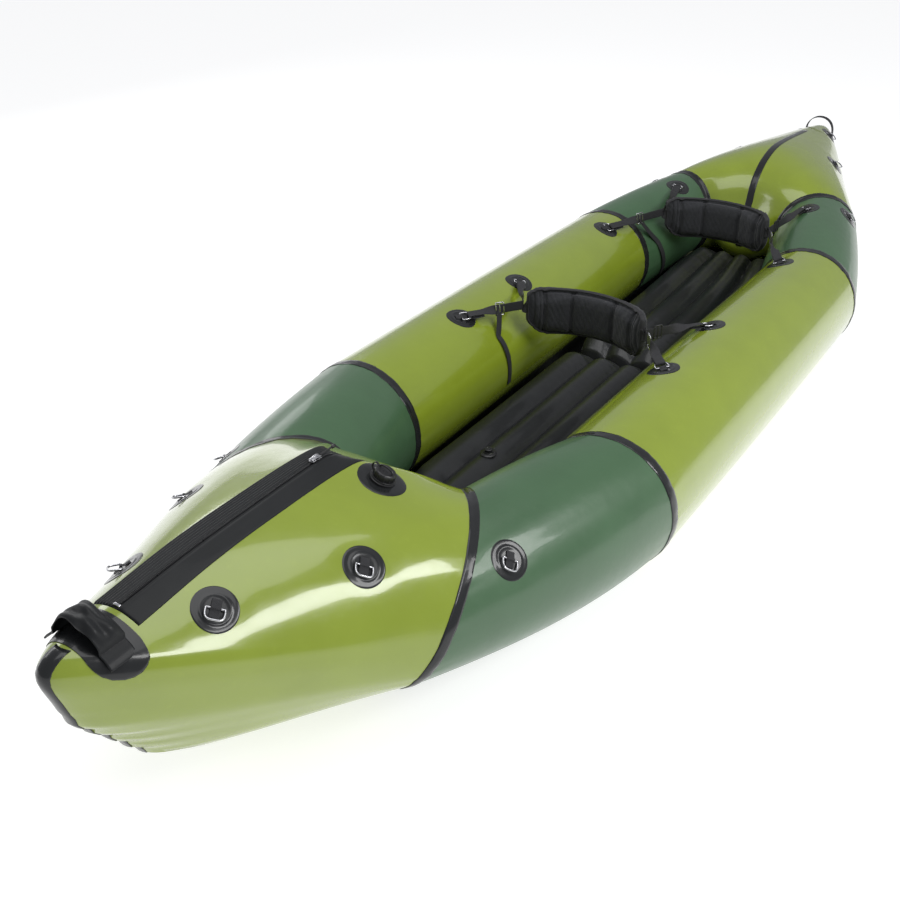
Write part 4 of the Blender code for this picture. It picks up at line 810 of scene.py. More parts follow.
@dataclass
class Hull:
    """The inflated skins and the tapes over their seams."""

    finishes: Finishes
    front_radius: float = 0.150
    rear_radius: float = 0.142
    front_offset: float = 0.306
    rear_offset: float = 0.3135
    seam_station: float = 0.632
    # Each dark panel's far centre and radius, where its seam cuts it, and the seam's rise
    bow_run: tuple[tuple[float, float, float], float] = ((0.188, -1.150, 0.186), 0.140)
    stern_run: tuple[tuple[float, float, float], float] = ((0.187, 1.150, 0.221), 0.107)
    bow_cut: tuple[float, tuple[float, float, float]] = (0.925, (-0.703, -0.511, 0.496))
    stern_cut: tuple[float, tuple[float, float, float]] = (0.741, (-0.422, 0.909, -0.048))
    bow_rise: float = 0.035
    stern_rise: float = -0.020
    skin: float = 0.0015
    tape_half: float = 0.0125
    stem_half: float = 0.0145
    stern_half: float = 0.011
    # Where the centre tapes end: three stations, and a height on the stern's inner wall
    stem_top: float = -1.728
    stem_foot: float = -1.500
    stern_top: float = 1.520
    stern_foot: float = 0.130
    tape_thickness: float = 0.0009
    tape_crease: float = 60.0
    # A tape's heights over the skin, at shares of its half width
    tape_heights: Profile = (
        (1.0, 0.0003), (0.96, 0.0010), (0.6, 0.0012), (0.2, 0.0014),
    )
    centre_heights: Profile = (
        (-1.0, 0.0003), (-0.93, 0.0011), (-0.5, 0.0012), (0.0, 0.0013), (0.5, 0.0012),
        (0.93, 0.0011), (1.0, 0.0003),
    )
    pucker: float = 0.0011
    pucker_depth: float = 0.035
    pucker_start: float = 0.008
    fold: float = 0.0042
    fold_pitch: float = 0.043
    fold_width: float = 0.055
    fold_span: tuple[float, float] = (0.775, 0.975)
    bar_height: float = 0.0042
    settled: float = 0.065
    surfaces: dict[str, Surface] = field(default_factory=dict)

    def swollen(self, first: Array, last: Array, swell: float, low_swell: float) -> Array:
        """Rows between two seams, close together near them."""
        shares = (1 - np.cos(np.linspace(0, math.pi, 66))) / 2
        lift = swell * (1 + np.sin(ANGLES)) / 2 + low_swell * LOW
        made = []
        for share in shares:
            loop = first * (1 - share) + last * share
            loop = loop + unit(loop - loop.mean(0)) * (lift * 4 * share * (1 - share))[:, None]
            loop[:, 2] = np.maximum(loop[:, 2], GROUND)
            made.append(loop)
        return np.array(made)

    def shape(self) -> None:
        """Works out every skin."""
        spokes = np.stack([np.cos(ANGLES), np.zeros(AROUND), np.sin(ANGLES)], -1)
        seams = []
        for station, offset, radius, run, cut, rise in (
            (-self.seam_station, self.front_offset, self.front_radius, self.bow_run,
             self.bow_cut, self.bow_rise),
            (self.seam_station, self.rear_offset, self.rear_radius, self.stern_run,
             self.stern_cut, self.stern_rise),
        ):
            centre = np.array([offset, station, GROUND + radius * FLAT_SHARE])
            seam = Run(centre, radius, *run).cut(*cut)
            seam[:, 2] += rise * UNDER
            seams.append((centre + spokes * (radius * ROUND_SHARE), seam))
        (front, bow), (rear, stern) = seams
        near = 1 - np.array([0, 0.006, 0.016, 0.030, 0.048, 0.070])
        shares = np.concatenate([near, np.linspace(0.905, 0, 46)])
        for name, form, seam in (("bow_skin", BOW, bow), ("stern_skin", STERN, stern)):
            rows = form.rows(seam, shares)
            plain = Surface(np.concatenate([rows, (rows[:-1] * MIRROR)[::-1]]))
            self.surfaces[name] = plain.lift(self.puckers(plain, len(name)))
        # Each panel's two seams, how far it swells, and how far more on its lower outer quarter
        panels = (
            ("mid_tube", front, rear, 0.003, 0.003),
            ("front_panel", front, bow, 0.006, 0.022),
            ("rear_panel", rear, stern, 0.006, 0.006),
        )
        for seed, (name, *form) in enumerate(panels):
            plain = Surface(self.swollen(*form))
            made = plain.lift(self.puckers(plain, seed + 2.4))
            self.surfaces[name + "_port"] = made
            self.surfaces[name + "_starboard"] = Surface(made.rows * MIRROR)
        self.surfaces["bow_skin"] = self.chin_folds(self.surfaces["bow_skin"])
        self.settle()

    def settle(self) -> None:
        """Flattens the skin under each ring's patch, so that the ring's bar stands clear."""
        for place, skin in RING_SKINS.items():
            for side in Side:
                key = skin if skin in self.surfaces else f"{skin}_{side.word}"
                surface = self.surfaces[key]
                spot, _ = pivot_of(f"{place}_{side.word}_ring")
                hit, normal = surface.nearest(spot)
                short = self.bar_height - (spot - hit).dot(normal)
                away = np.linalg.norm(surface.rows - np.array(hit), axis=2)
                fade = np.clip(1 - away / self.settled, 0, 1)
                fade = fade * fade * (3 - 2 * fade)
                drop = np.array(normal) * (max(0.0, short) * fade)[..., None]
                self.surfaces[key] = Surface(surface.rows - drop)

    def puckers(self, plain: Surface, seed: float) -> Array:
        """Small gathers that run off each seam and die out along the skin."""
        total = np.zeros(plain.rows.shape[:2])
        for end in (0, 1):
            depth = plain.depths(end)
            fade = np.exp(-depth / self.pucker_depth) * np.minimum(1, depth / self.pucker_start)
            total += self.pucker * uneven(ANGLES, seed + end)[None] * fade
        return total

    def chin_folds(self, plain: Surface) -> Surface:
        """Folds across the stem under the nose, where the outline turns in."""
        first, last = (int(AROUND * share) for share in self.fold_span)
        window = np.zeros(AROUND)
        window[first:last] = np.sin(np.linspace(0, math.pi, last - first)) ** 0.5
        length = distances(plain.rows[len(plain.rows) // 2])
        fold = window * (np.sin(length * math.tau / self.fold_pitch + 0.6) - 0.35)
        return plain.lift(self.fold * fold[None] * dented(plain.rows[..., 0], self.fold_width))

    def build(self) -> None:
        """Builds the skins and the seam tapes."""
        self.shape()
        for name, surface in self.surfaces.items():
            light = "skin" in name or "mid_tube" in name
            cloth = self.finishes.lime if light else self.finishes.forest
            bm = grid_mesh(surface.rows, wrap=True)
            thicken(piece(name + "_cloth", bm, cloth, "hull", [name]), self.skin)
        for side in Side:
            for seam, before, after in (
                ("front_seam_tape", "mid_tube", "front_panel"),
                ("rear_seam_tape", "mid_tube", "rear_panel"),
                ("bow_seam_tape", "front_panel", "bow_skin"),
                ("stern_seam_tape", "rear_panel", "stern_skin"),
            ):
                self.seam_tape(seam, before, after, side)
        self.centre_tapes()

    def tape(self, name: str, bm: Mesh) -> None:
        """Makes a tape of a strip that lies on the skins."""
        made = piece(name + "_strip", bm, self.finishes.tape, "hull", [name], self.tape_crease)
        thicken(made, self.tape_thickness)

    def seam_tape(self, seam: str, before: str, after: str, side: Side) -> None:
        """Lays one tape over a seam, its edges pressed down on the skins."""
        far_end = 1 if before != "mid_tube" or seam.startswith("rear") else 0
        near_end = 1 if after in self.surfaces and side is Side.STARBOARD else 0
        rows = []
        for skin, end, heights in ((before, far_end, self.tape_heights),
                                   (after, near_end, self.tape_heights[::-1])):
            surface = self.skin_for(skin, side)
            for share, height in heights:
                spots, ways = surface.loop_at(end, self.tape_half * share)
                rows.append(spots + ways * height)
        self.tape(f"{seam}_{side.word}", grid_mesh(np.array(rows), wrap=True))

    def skin_for(self, name: str, side: Side) -> Surface:
        """The surface of a kind on a side."""
        return self.surfaces.get(name) or self.surfaces[f"{name}_{side.word}"]

    def centre_tape(self, name: str, skin: str, columns: Sequence[int], half: float) -> None:
        """Lays a tape along a skin's centre line, over the given columns of its loops."""
        surface = self.surfaces[skin]
        offsets, lifts = np.array(self.centre_heights).T
        strip = []
        for column in columns:
            across = surface.rows[::-1, column, 0]
            spots, turns = (
                np.stack([np.interp(offsets * half, across, line) for line in table.T], -1)
                for table in (surface.rows[::-1, column], surface.normals[::-1, column])
            )
            strip.append(spots + unit(turns) * lifts[:, None])
        self.tape(name, grid_mesh(np.array(strip), core=surface.rows.mean((0, 1))))

    def centre_tapes(self) -> None:
        """Lays the stem tape round the nose and the tape down the stern's inner wall."""
        nose, tip = (self.surfaces[skin].rows for skin in ("bow_skin", "stern_skin"))
        nose, tip = nose[len(nose) // 2], tip[len(tip) // 2]
        top = next(j for j in range(QUARTER) if nose[j, 1] > self.stem_top)
        foot = next(j for j in range(AROUND - 1, 0, -1) if nose[j, 1] > self.stem_foot)
        stem = [*range(top, -1, -1), *range(AROUND - 1, foot, -1)]
        self.centre_tape("bow_stem_tape", "bow_skin", stem, self.stem_half)
        start = next(j for j in range(QUARTER) if tip[j, 1] < self.stern_top)
        end = next(j for j in range(QUARTER, AROUND) if tip[j, 2] < self.stern_foot)
        self.centre_tape("stern_centre_tape", "stern_skin", range(start, end), self.stern_half)


# How far over a skin a form that is laid on it starts
LAY_FROM = 0.04


def conformed(bm: Mesh, surface: Surface, spot: Vector, normal: Vector, across: Vector) -> Mesh:
    """Lays a form that was made flat round the origin onto a skin.

    Args:
        bm: the form, its height along Z.
        surface: the skin.
        spot: where its origin goes.
        normal: the way out of the skin there.
        across: the way its X axis points.

    Returns:
        The form, in the boat's frame.
    """
    ahead = normal.cross(across)
    for vert in bm.verts:
        base = spot + across * vert.co.x + ahead * vert.co.y
        hit, way, _, _ = surface.tree.ray_cast(base + normal * LAY_FROM, -normal, 3 * LAY_FROM)
        if hit is None:
            hit, way = surface.nearest(base)
        way = way if way.dot(normal) > 0 else -way
        vert.co = hit + way * vert.co.z
    bm.normal_update()
    return bm


def node_points(node: str) -> Array:
    """A CAD node's points."""
    return np.array([vert.co for vert in frame["nodes"][node].data.vertices])


def pivot_of(body: str) -> tuple[Vector, Vector]:
    """Where the joint that moves a body is, and its axis."""
    joint = next(joint for joint in frame["joints"] if joint["child"] == body)
    return Vector(joint.get("pos_m", (0, 0, 0))), Vector(joint["axis"]).normalized()


@dataclass
class Fitting:
    """Something that the hull carries."""

    finishes: Finishes
    hull: Hull


@dataclass
class Anchors(Fitting):
    """The round patches, their webbing tabs and their D-rings."""

    radius: float = 0.037
    wire: float = 0.00175
    half_width: float = 0.0150
    depth: float = 0.0210
    tab_width: float = 0.016
    tab_thickness: float = 0.0013
    # A patch's heights at shares of its radius: a second round layer and a raised rim
    patch: Profile = (
        (0.0, 0.0012), (0.14, 0.0012), (0.28, 0.0012), (0.42, 0.0012), (0.54, 0.0013),
        (0.59, 0.0018), (0.63, 0.0019), (0.67, 0.0018), (0.71, 0.0010), (0.80, 0.0011),
        (0.90, 0.0010), (0.97, 0.0009), (1.0, 0.0004), (1.0, -0.0006), (0.7, -0.0006),
        (0.35, -0.0006), (0.0, -0.0006),
    )
    # A tab's flat end, from the ring's bar outwards
    tab_end: Profile = (
        (0.0150, 0.0028), (0.0100, 0.0028), (0.0060, 0.0030),
    )

    def ring_frame(self, body: str) -> tuple[Vector, Vector, Vector]:
        """Where a D-ring's bar is, which way it runs, and the way to the ring's bow."""
        spot, axis = pivot_of(body)
        points = node_points(body)
        middle = sum(map(Vector, points), Vector()) / len(points)
        return spot, axis, in_plane(middle - spot, axis)

    def build(self) -> None:
        """Builds every anchor."""
        for place, skin in RING_SKINS.items():
            for side in Side:
                self.anchor(f"{place}_{side.word}", self.hull.skin_for(skin, side))

    def anchor(self, name: str, surface: Surface) -> None:
        """Builds one patch, its tab and its ring."""
        body = name + "_ring"
        spot, axis, bow = self.ring_frame(body)
        hit, normal = surface.nearest(spot)
        across, ahead = in_plane(axis, normal), in_plane(bow, normal)
        disc = spun([(self.radius * share, height) for share, height in self.patch], sides=56)
        piece(name + "_patch", conformed(disc, surface, hit, normal, across),
              self.finishes.tape, "hull", (), crease=50)
        bar = max(self.hull.bar_height, (spot - hit).dot(normal))
        loop = self.wire + self.tab_thickness / 2 + 0.0002
        trail = [(-far, height) for far, height in self.tab_end]
        for degrees in (170, 140, 110, 70, 40, 10):
            turn = math.radians(degrees)
            trail.append((loop * math.cos(turn), bar + loop * math.sin(turn)))
        trail += self.tab_end[::-1]
        path = eased([hit + ahead * a + normal * b for a, b in trail], 40)
        tab = band(path, repeated(across, path), self.tab_width, self.tab_thickness)
        piece(name + "_tab", tab, self.finishes.webbing, "hull")
        self.ring(body, spot, axis, bow)

    def ring(self, body: str, spot: Vector, axis: Vector, bow: Vector) -> None:
        """Bends one D-ring out of round wire."""
        path = []
        for turn in np.arange(1, 40) * math.pi / 40:
            across = math.copysign(abs(math.cos(turn)) ** 0.5, math.cos(turn))
            path.append((self.half_width * across, self.depth * math.sin(turn) ** 0.5))
        path += [(x * self.half_width, 0.0) for x in np.linspace(-1, 1, 12)]
        points = np.array([spot + axis * x + bow * y for x, y in path])
        bm = tube(points, self.wire, 12, closed=True)
        piece(body + "_wire", bm, self.finishes.steel, body, [body], crease=80)


@dataclass
class DeckZip(Fitting):
    """The zip on the bow's ridge: strip, teeth, end stop, slider and pull."""

    half: float = 0.046
    rear: float = -1.088
    front: float = -1.628
    tooth: float = 0.0026
    rib_pitch: float = 0.0062
    cord: float = 0.036
    cord_thickness: float = 0.0034
    # The strip's heights at shares of its half width: the bed of the teeth, then the near half
    smooth: Profile = (
        (-0.13, 0.0024), (-0.10, 0.0008), (-0.05, 0.0006), (0.0, 0.0006), (0.05, 0.0006),
        (0.10, 0.0008), (0.13, 0.0024), (0.16, 0.0016), (0.22, 0.0024), (0.30, 0.0024),
        (0.42, 0.0016), (0.55, 0.0016), (0.68, 0.0016), (0.80, 0.0016), (0.90, 0.0016),
        (0.96, 0.0012), (1.0, 0.0003),
    )
    knot: Profile = (
        (0, -0.006), (0.0016, -0.0058), (0.0031, -0.004), (0.0034, 0.0), (0.0030, 0.0038),
        (0.0015, 0.0054), (0, 0.0056),
    )

    def build(self) -> None:
        """Builds the zip's pieces."""
        self.strip()
        self.teeth()
        self.slider()

    def strip(self) -> None:
        """Lays the strip: ribbed lengthwise on its far half, smooth on its near half."""
        skin = self.hull.surfaces["bow_skin"]
        far = np.linspace(-1.0, -0.16, 64)
        ribs = 0.0018 + 0.0008 * np.cos(far * self.half * math.tau / self.rib_pitch)
        ribs[0], ribs[-2:] = 0.0003, 0.0024
        profile = [*zip(far, ribs), *self.smooth]
        stations = np.linspace(self.rear, self.front, 120)
        rows = []
        for station in stations:
            ends = station in (self.rear, self.front)
            hits = [skin.below(share * self.half, station) for share, _ in profile]
            rows.append([hit + normal * (0.0002 if ends else height)
                         for (hit, normal), (_, height) in zip(hits, profile)])
        bm = grid_mesh(np.array(rows), core=np.array([0, -1.35, 0.0]))
        made = piece("deck_zip_strip", bm, self.finishes.ribbed, "hull", ["deck_zip"], crease=70)
        thicken(made, depth=0.0012)

    def teeth(self) -> None:
        """Sets the teeth, left and right by turns, and the stop at the front."""
        skin = self.hull.surfaces["bow_skin"]
        size = Matrix.Diagonal((0.0042, self.tooth * 0.38, 0.0014, 1))
        stations = np.arange(self.front + 0.012, self.rear - 0.006, self.tooth / 2)
        bm = bmesh.new()
        for index, station in enumerate(stations):
            hit, normal = skin.below(0.0012 if index % 2 else -0.0012, station)
            matrix = framed(hit + normal * 0.0013, normal) @ size
            bmesh.ops.create_cube(bm, size=1.0, matrix=matrix)
        piece("deck_zip_teeth", mapped(bm), self.finishes.plastic, "hull", (), crease=30)
        hit, normal = skin.below(0, self.front + 0.006)
        stop = bmesh.new()
        bmesh.ops.create_cube(stop, size=1.0, matrix=Matrix.Diagonal((0.013, 0.005, 0.003, 1)))
        soften(stop, offset=0.0009, segments=3)
        stop.transform(framed(hit + normal * 0.0026, normal))
        piece("deck_zip_stop", stop, self.finishes.steel, "hull")

    def slider(self) -> None:
        """Makes the slider's two plates and bridge, and the cord pull behind it."""
        low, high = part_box("zip_slider")
        centre = (low + high) / 2
        back = -pivot_of("zip_slider")[1]
        out = ACROSS.cross(back)
        out = out if out.z > 0 else -out
        bm = bmesh.new()
        for height, thick, wide in ((-0.0021, 0.0016, 1.0), (0.0014, 0.0016, 0.92)):
            for vert in bmesh.ops.create_cube(bm, size=1.0)["verts"]:
                taper = 1.0 if vert.co.y > 0 else 0.72
                vert.co = Vector((vert.co.x * 0.013 * wide * taper, vert.co.y * 0.022,
                                  vert.co.z * thick + height))
        post = Matrix.Translation((0, -0.006, 0)) @ Matrix.Diagonal((0.003, 0.007, 0.0035, 1))
        bmesh.ops.create_cube(bm, size=1.0, matrix=post)
        soften(bm, offset=0.0005, segments=2)
        bm.transform(framed(centre, ACROSS, back, out))
        steel = self.finishes.steel
        piece("zip_slider_plates", bm, steel, "zip_slider", ["zip_slider"])
        arc = np.array([
            centre + back * (0.0095 * math.cos(a)) + out * (0.0018 + 0.0042 * math.sin(a))
            for a in np.linspace(0.0, math.pi, 16)
        ])
        bridge = tube(arc, radius=0.0009, sides=10)
        piece("zip_slider_bridge", bridge, steel, "zip_slider", (), crease=80)
        hinge, _ = pivot_of("zip_pull")
        path = np.array([hinge + back * (0.0012 + self.cord * t) for t in np.linspace(0, 1, 20)])
        cord = piece("zip_pull_cord", tube(path, self.cord_thickness / 2, 12),
                     self.finishes.cord, "zip_pull", ["zip_pull"], crease=80)
        knot = spun(self.knot, sides=20)
        knot.transform(framed(hinge + back * 0.0375, ACROSS, back, out)
                       @ Matrix.Rotation(math.pi / 2, 4, "X"))
        end = piece("zip_pull_end", knot, self.finishes.plastic, "zip_pull")


@dataclass
class MainValve(Fitting):
    """The inflation valve behind the zip: patch, flange, threaded neck and screw cap.

    The profiles are (radius, height) points over the flange, the disc's in shares of its radius.
    """

    patch_radius: float = 0.045
    grips: int = 12
    collar: float = 0.0205
    threads: int = 5
    disc: Profile = (
        (0.0, 0.0012), (0.2, 0.0012), (0.4, 0.0012), (0.6, 0.0012), (0.8, 0.0012),
        (0.96, 0.0011), (1.0, 0.0004), (1.0, -0.0006), (0.6, -0.0006), (0.0, -0.0006),
    )
    flange: Profile = (
        (0, -0.0050), (0.0235, -0.0050), (0.0240, -0.0036), (0.0236, -0.0012),
        (0.0222, -0.0005), (0.0180, -0.0004), (0.0172, 0.0002), (0.0170, 0.0018),
    )
    thread: Profile = (
        (0.0170, 0.0), (0.0175, 0.0006), (0.0175, 0.0010), (0.0170, 0.0016),
    )
    cap: Profile = (
        (0, 0.0128), (0.0178, 0.0128), (0.0179, 0.0006), (0.0186, 0.0002), (0.0192, 0.0010),
        (0.0193, 0.0032), (0.0193, 0.0075), (0.0192, 0.0118), (0.0184, 0.0140),
        (0.0170, 0.0150), (0.0125, 0.0152), (0.0118, 0.0138), (0.0060, 0.0136),
        (0.0052, 0.0146), (0.0, 0.0150),
    )
    tether: tuple[tuple[float, float, float], ...] = (
        (-0.0205, 0, 0.0010), (-0.0262, 0, 0.0055), (-0.0270, 0, 0.0120),
        (-0.0232, 0, 0.0165), (-0.0165, 0, 0.0150),
    )

    def build(self) -> None:
        """Builds the valve."""
        spot, axis = pivot_of("main_valve_cap")
        place = framed(spot, axis)
        skin = self.hull.surfaces["bow_skin"]
        hit, normal = skin.nearest(spot)
        disc = spun([(self.patch_radius * r, h) for r, h in self.disc], sides=64)
        piece("main_valve_disc", conformed(disc, skin, hit, normal, in_plane(ACROSS, normal)),
              self.finishes.tape, "hull", ["main_valve_patch"], crease=50)
        neck = [*self.flange]
        for low in 0.0020 * np.arange(1, self.threads + 1):
            neck += [(radius, low + height) for radius, height in self.thread]
        neck = spun([*neck, (0.0168, 0.0122), (0.0, 0.0123)], sides=56)
        cap = spun(self.cap, self.grips * 8)
        for vert in cap.verts:
            if vert.co.xy.length > 0.0185 and 0.0008 < vert.co.z < 0.0125:
                angle = math.atan2(vert.co.y, vert.co.x)
                vert.co.xy *= 1 + 0.055 * max(0.0, math.cos(angle * self.grips)) ** 0.5
        turns = np.linspace(0.0, math.pi, 22)
        lug = np.stack([0.0135 * np.cos(turns), 0 * turns,
                        0.0145 + 0.0062 * np.maximum(0, np.sin(turns)) ** 0.6], -1)
        turns = np.linspace(0, math.tau, 48, endpoint=False)
        collar = np.stack([self.collar * np.cos(turns), self.collar * np.sin(turns),
                           np.full(48, 0.0009)], -1)
        tether = eased(self.tether, 30)
        strap = band(tether, repeated(AHEAD, tether), widths=0.0052, thickness=0.0014)
        ring = tube(collar, radius=0.0011, sides=10, closed=True)
        for bm in (neck, cap, ring, strap):
            bm.transform(place)
        lug = np.array([place @ Vector(point) for point in lug])
        for name, bm, body, nodes, crease in (
            ("neck", neck, "hull", ["main_valve_body"], 30),
            ("screw_cap", cap, "main_valve_cap", ["main_valve_cap"], 30),
            ("cap_loop", tube(lug, radius=0.0016, sides=12), "main_valve_cap", (), 80),
            ("tether_ring", ring, "main_valve_cap", (), 80),
            ("tether", strap, "main_valve_cap", (), 40),
        ):
            piece("main_valve_" + name, bm, self.finishes.plastic, body, nodes, crease)


@dataclass
class Handles(Fitting):
    """The wide bow handle with its saddle patch, and the narrow stern handle."""

    bow_station: float = -1.678
    saddle_radius: float = 0.040
    saddle_height: float = 0.392
    stern_station: float = 1.692
    stern_top: float = 0.382

    def section(self, skin: Surface, station: float) -> Array:
        """The skin's cross-section over the top at a station, from port to starboard."""
        core = Vector((0, station, skin.below(0, station)[0].z - 0.10))
        ways = (Vector((-math.sin(a), 0, math.cos(a))) for a in np.linspace(-1.9, 1.9, 240))
        hits = (skin.tree.ray_cast(core, way, 0.5)[0] for way in ways)
        return np.array([hit for hit in hits if hit is not None])

    def saddle(self) -> None:
        """Lays the patch over the nose that the handle's ends are sewn on."""
        skin = self.hull.surfaces["bow_skin"]
        columns = []
        for share in np.sin(np.linspace(-0.5, 0.5, 33) * math.pi) * 0.999:
            line = self.section(skin, self.bow_station + share * self.saddle_radius)
            floor = self.saddle_height - self.saddle_radius * math.sqrt(1 - share**2)
            columns.append(respaced(line[line[:, 2] > floor], 72))
        rows = np.array(columns).transpose(1, 0, 2)
        edge = np.ones(rows.shape[:2], bool)
        edge[1:-1, 1:-1] = False
        for index in np.ndindex(edge.shape):
            rows[index] = skin.over(rows[index], 0.0003 if edge[index] else 0.0013)
        bm = grid_mesh(rows, core=np.array([0, self.bow_station, 0.2]))
        made = piece("bow_handle_saddle", bm, self.finishes.tape, "hull", ["bow_handle_patch"],
                     crease=60)
        thicken(made, depth=0.0010)

    def arch_path(
        self, skin: Surface, station: float, root: float, top: float, foot: float, lift: float
    ) -> Array:
        """The middle line of a webbing arch, its feet lying along the skin.

        Args:
            skin: the skin that carries it.
            station: where it stands.
            root: how far from the centre line it leaves the skin.
            top: the height of its crown.
            foot: the length of each foot.
            lift: how far its feet's middle is over the skin.

        Returns:
            The points, from the port foot to the starboard foot.
        """
        line = self.section(skin, station)
        line = line[line[:, 0] > 0]
        line = line[np.argsort(line[:, 0])]
        line = line[int(np.argmax(line[:, 0] > root)):]
        end = int(np.searchsorted(distances(line)[1:], foot))
        half = [np.array(skin.over(point, lift)) for point in respaced(line[:end], 12)[::-1]]
        x, _, z = half[-1]
        for turn in np.arange(1, 11) * math.pi / 20:
            half.append(np.array([x * math.cos(turn), station,
                                  z + (top - z) * math.sin(turn) ** 0.8]))
        half = np.array(half)
        return np.concatenate([half, (half[:-1] * MIRROR)[::-1]])

    def bow_handle(self) -> None:
        """Makes the wide handle: a soft band whose edges curl and crumple between its feet."""
        skin = self.hull.surfaces["bow_skin"]
        top = skin.below(0, self.bow_station)[0].z + 0.031
        line = self.arch_path(skin, self.bow_station, root=0.045, top=top, foot=0.045, lift=0.0034)
        path = eased(line, 96)
        across = np.array(AHEAD)
        columns = np.linspace(-1, 1, 25)[:, None]
        rows = []
        for spot, aim, share in zip(path, unit(np.gradient(path, axis=0)),
                                    np.linspace(-1, 1, len(path))):
            out = unit(np.cross(aim, across))
            out = out if out[2] > 0 or abs(share) > 0.9 else -out
            free = max(0.0, 1 - (share / 0.62) ** 2) ** 0.8
            curl = -0.0075 * columns**2 * free
            fold = np.sin(columns * 7.0 + share * 3.1) * 0.0020
            fold += np.sin(columns * 3.3 - share * 9.0 + 1.1) * 0.0026
            width = 0.0235 * (1 - 0.10 * free)
            sway = 0.004 * free * math.sin(share * 4.2)
            rows.append(spot + across * (columns * width + sway) + out * (curl + fold * free))
        bm = grid_mesh(np.array(rows), core=np.array([0, self.bow_station, 0.3]))
        made = piece("bow_handle_band", bm, self.finishes.ribbed, "hull", ["bow_handle"],
                     crease=60)
        thicken(made, depth=0.0024, offset=0.0)

    def stern_handle(self) -> None:
        """Makes the narrow handle over the tip."""
        skin = self.hull.surfaces["stern_skin"]
        line = self.arch_path(skin, self.stern_station, root=0.044, top=self.stern_top,
                              foot=0.024, lift=0.0022)
        path = eased(line, 80)
        bm = band(path, repeated(AHEAD, path), widths=0.020, thickness=0.0022)
        piece("stern_handle_band", bm, self.finishes.webbing, "hull", ["stern_handle"])

    def build(self) -> None:
        """Builds both handles."""
        self.saddle()
        self.bow_handle()
        self.stern_handle()


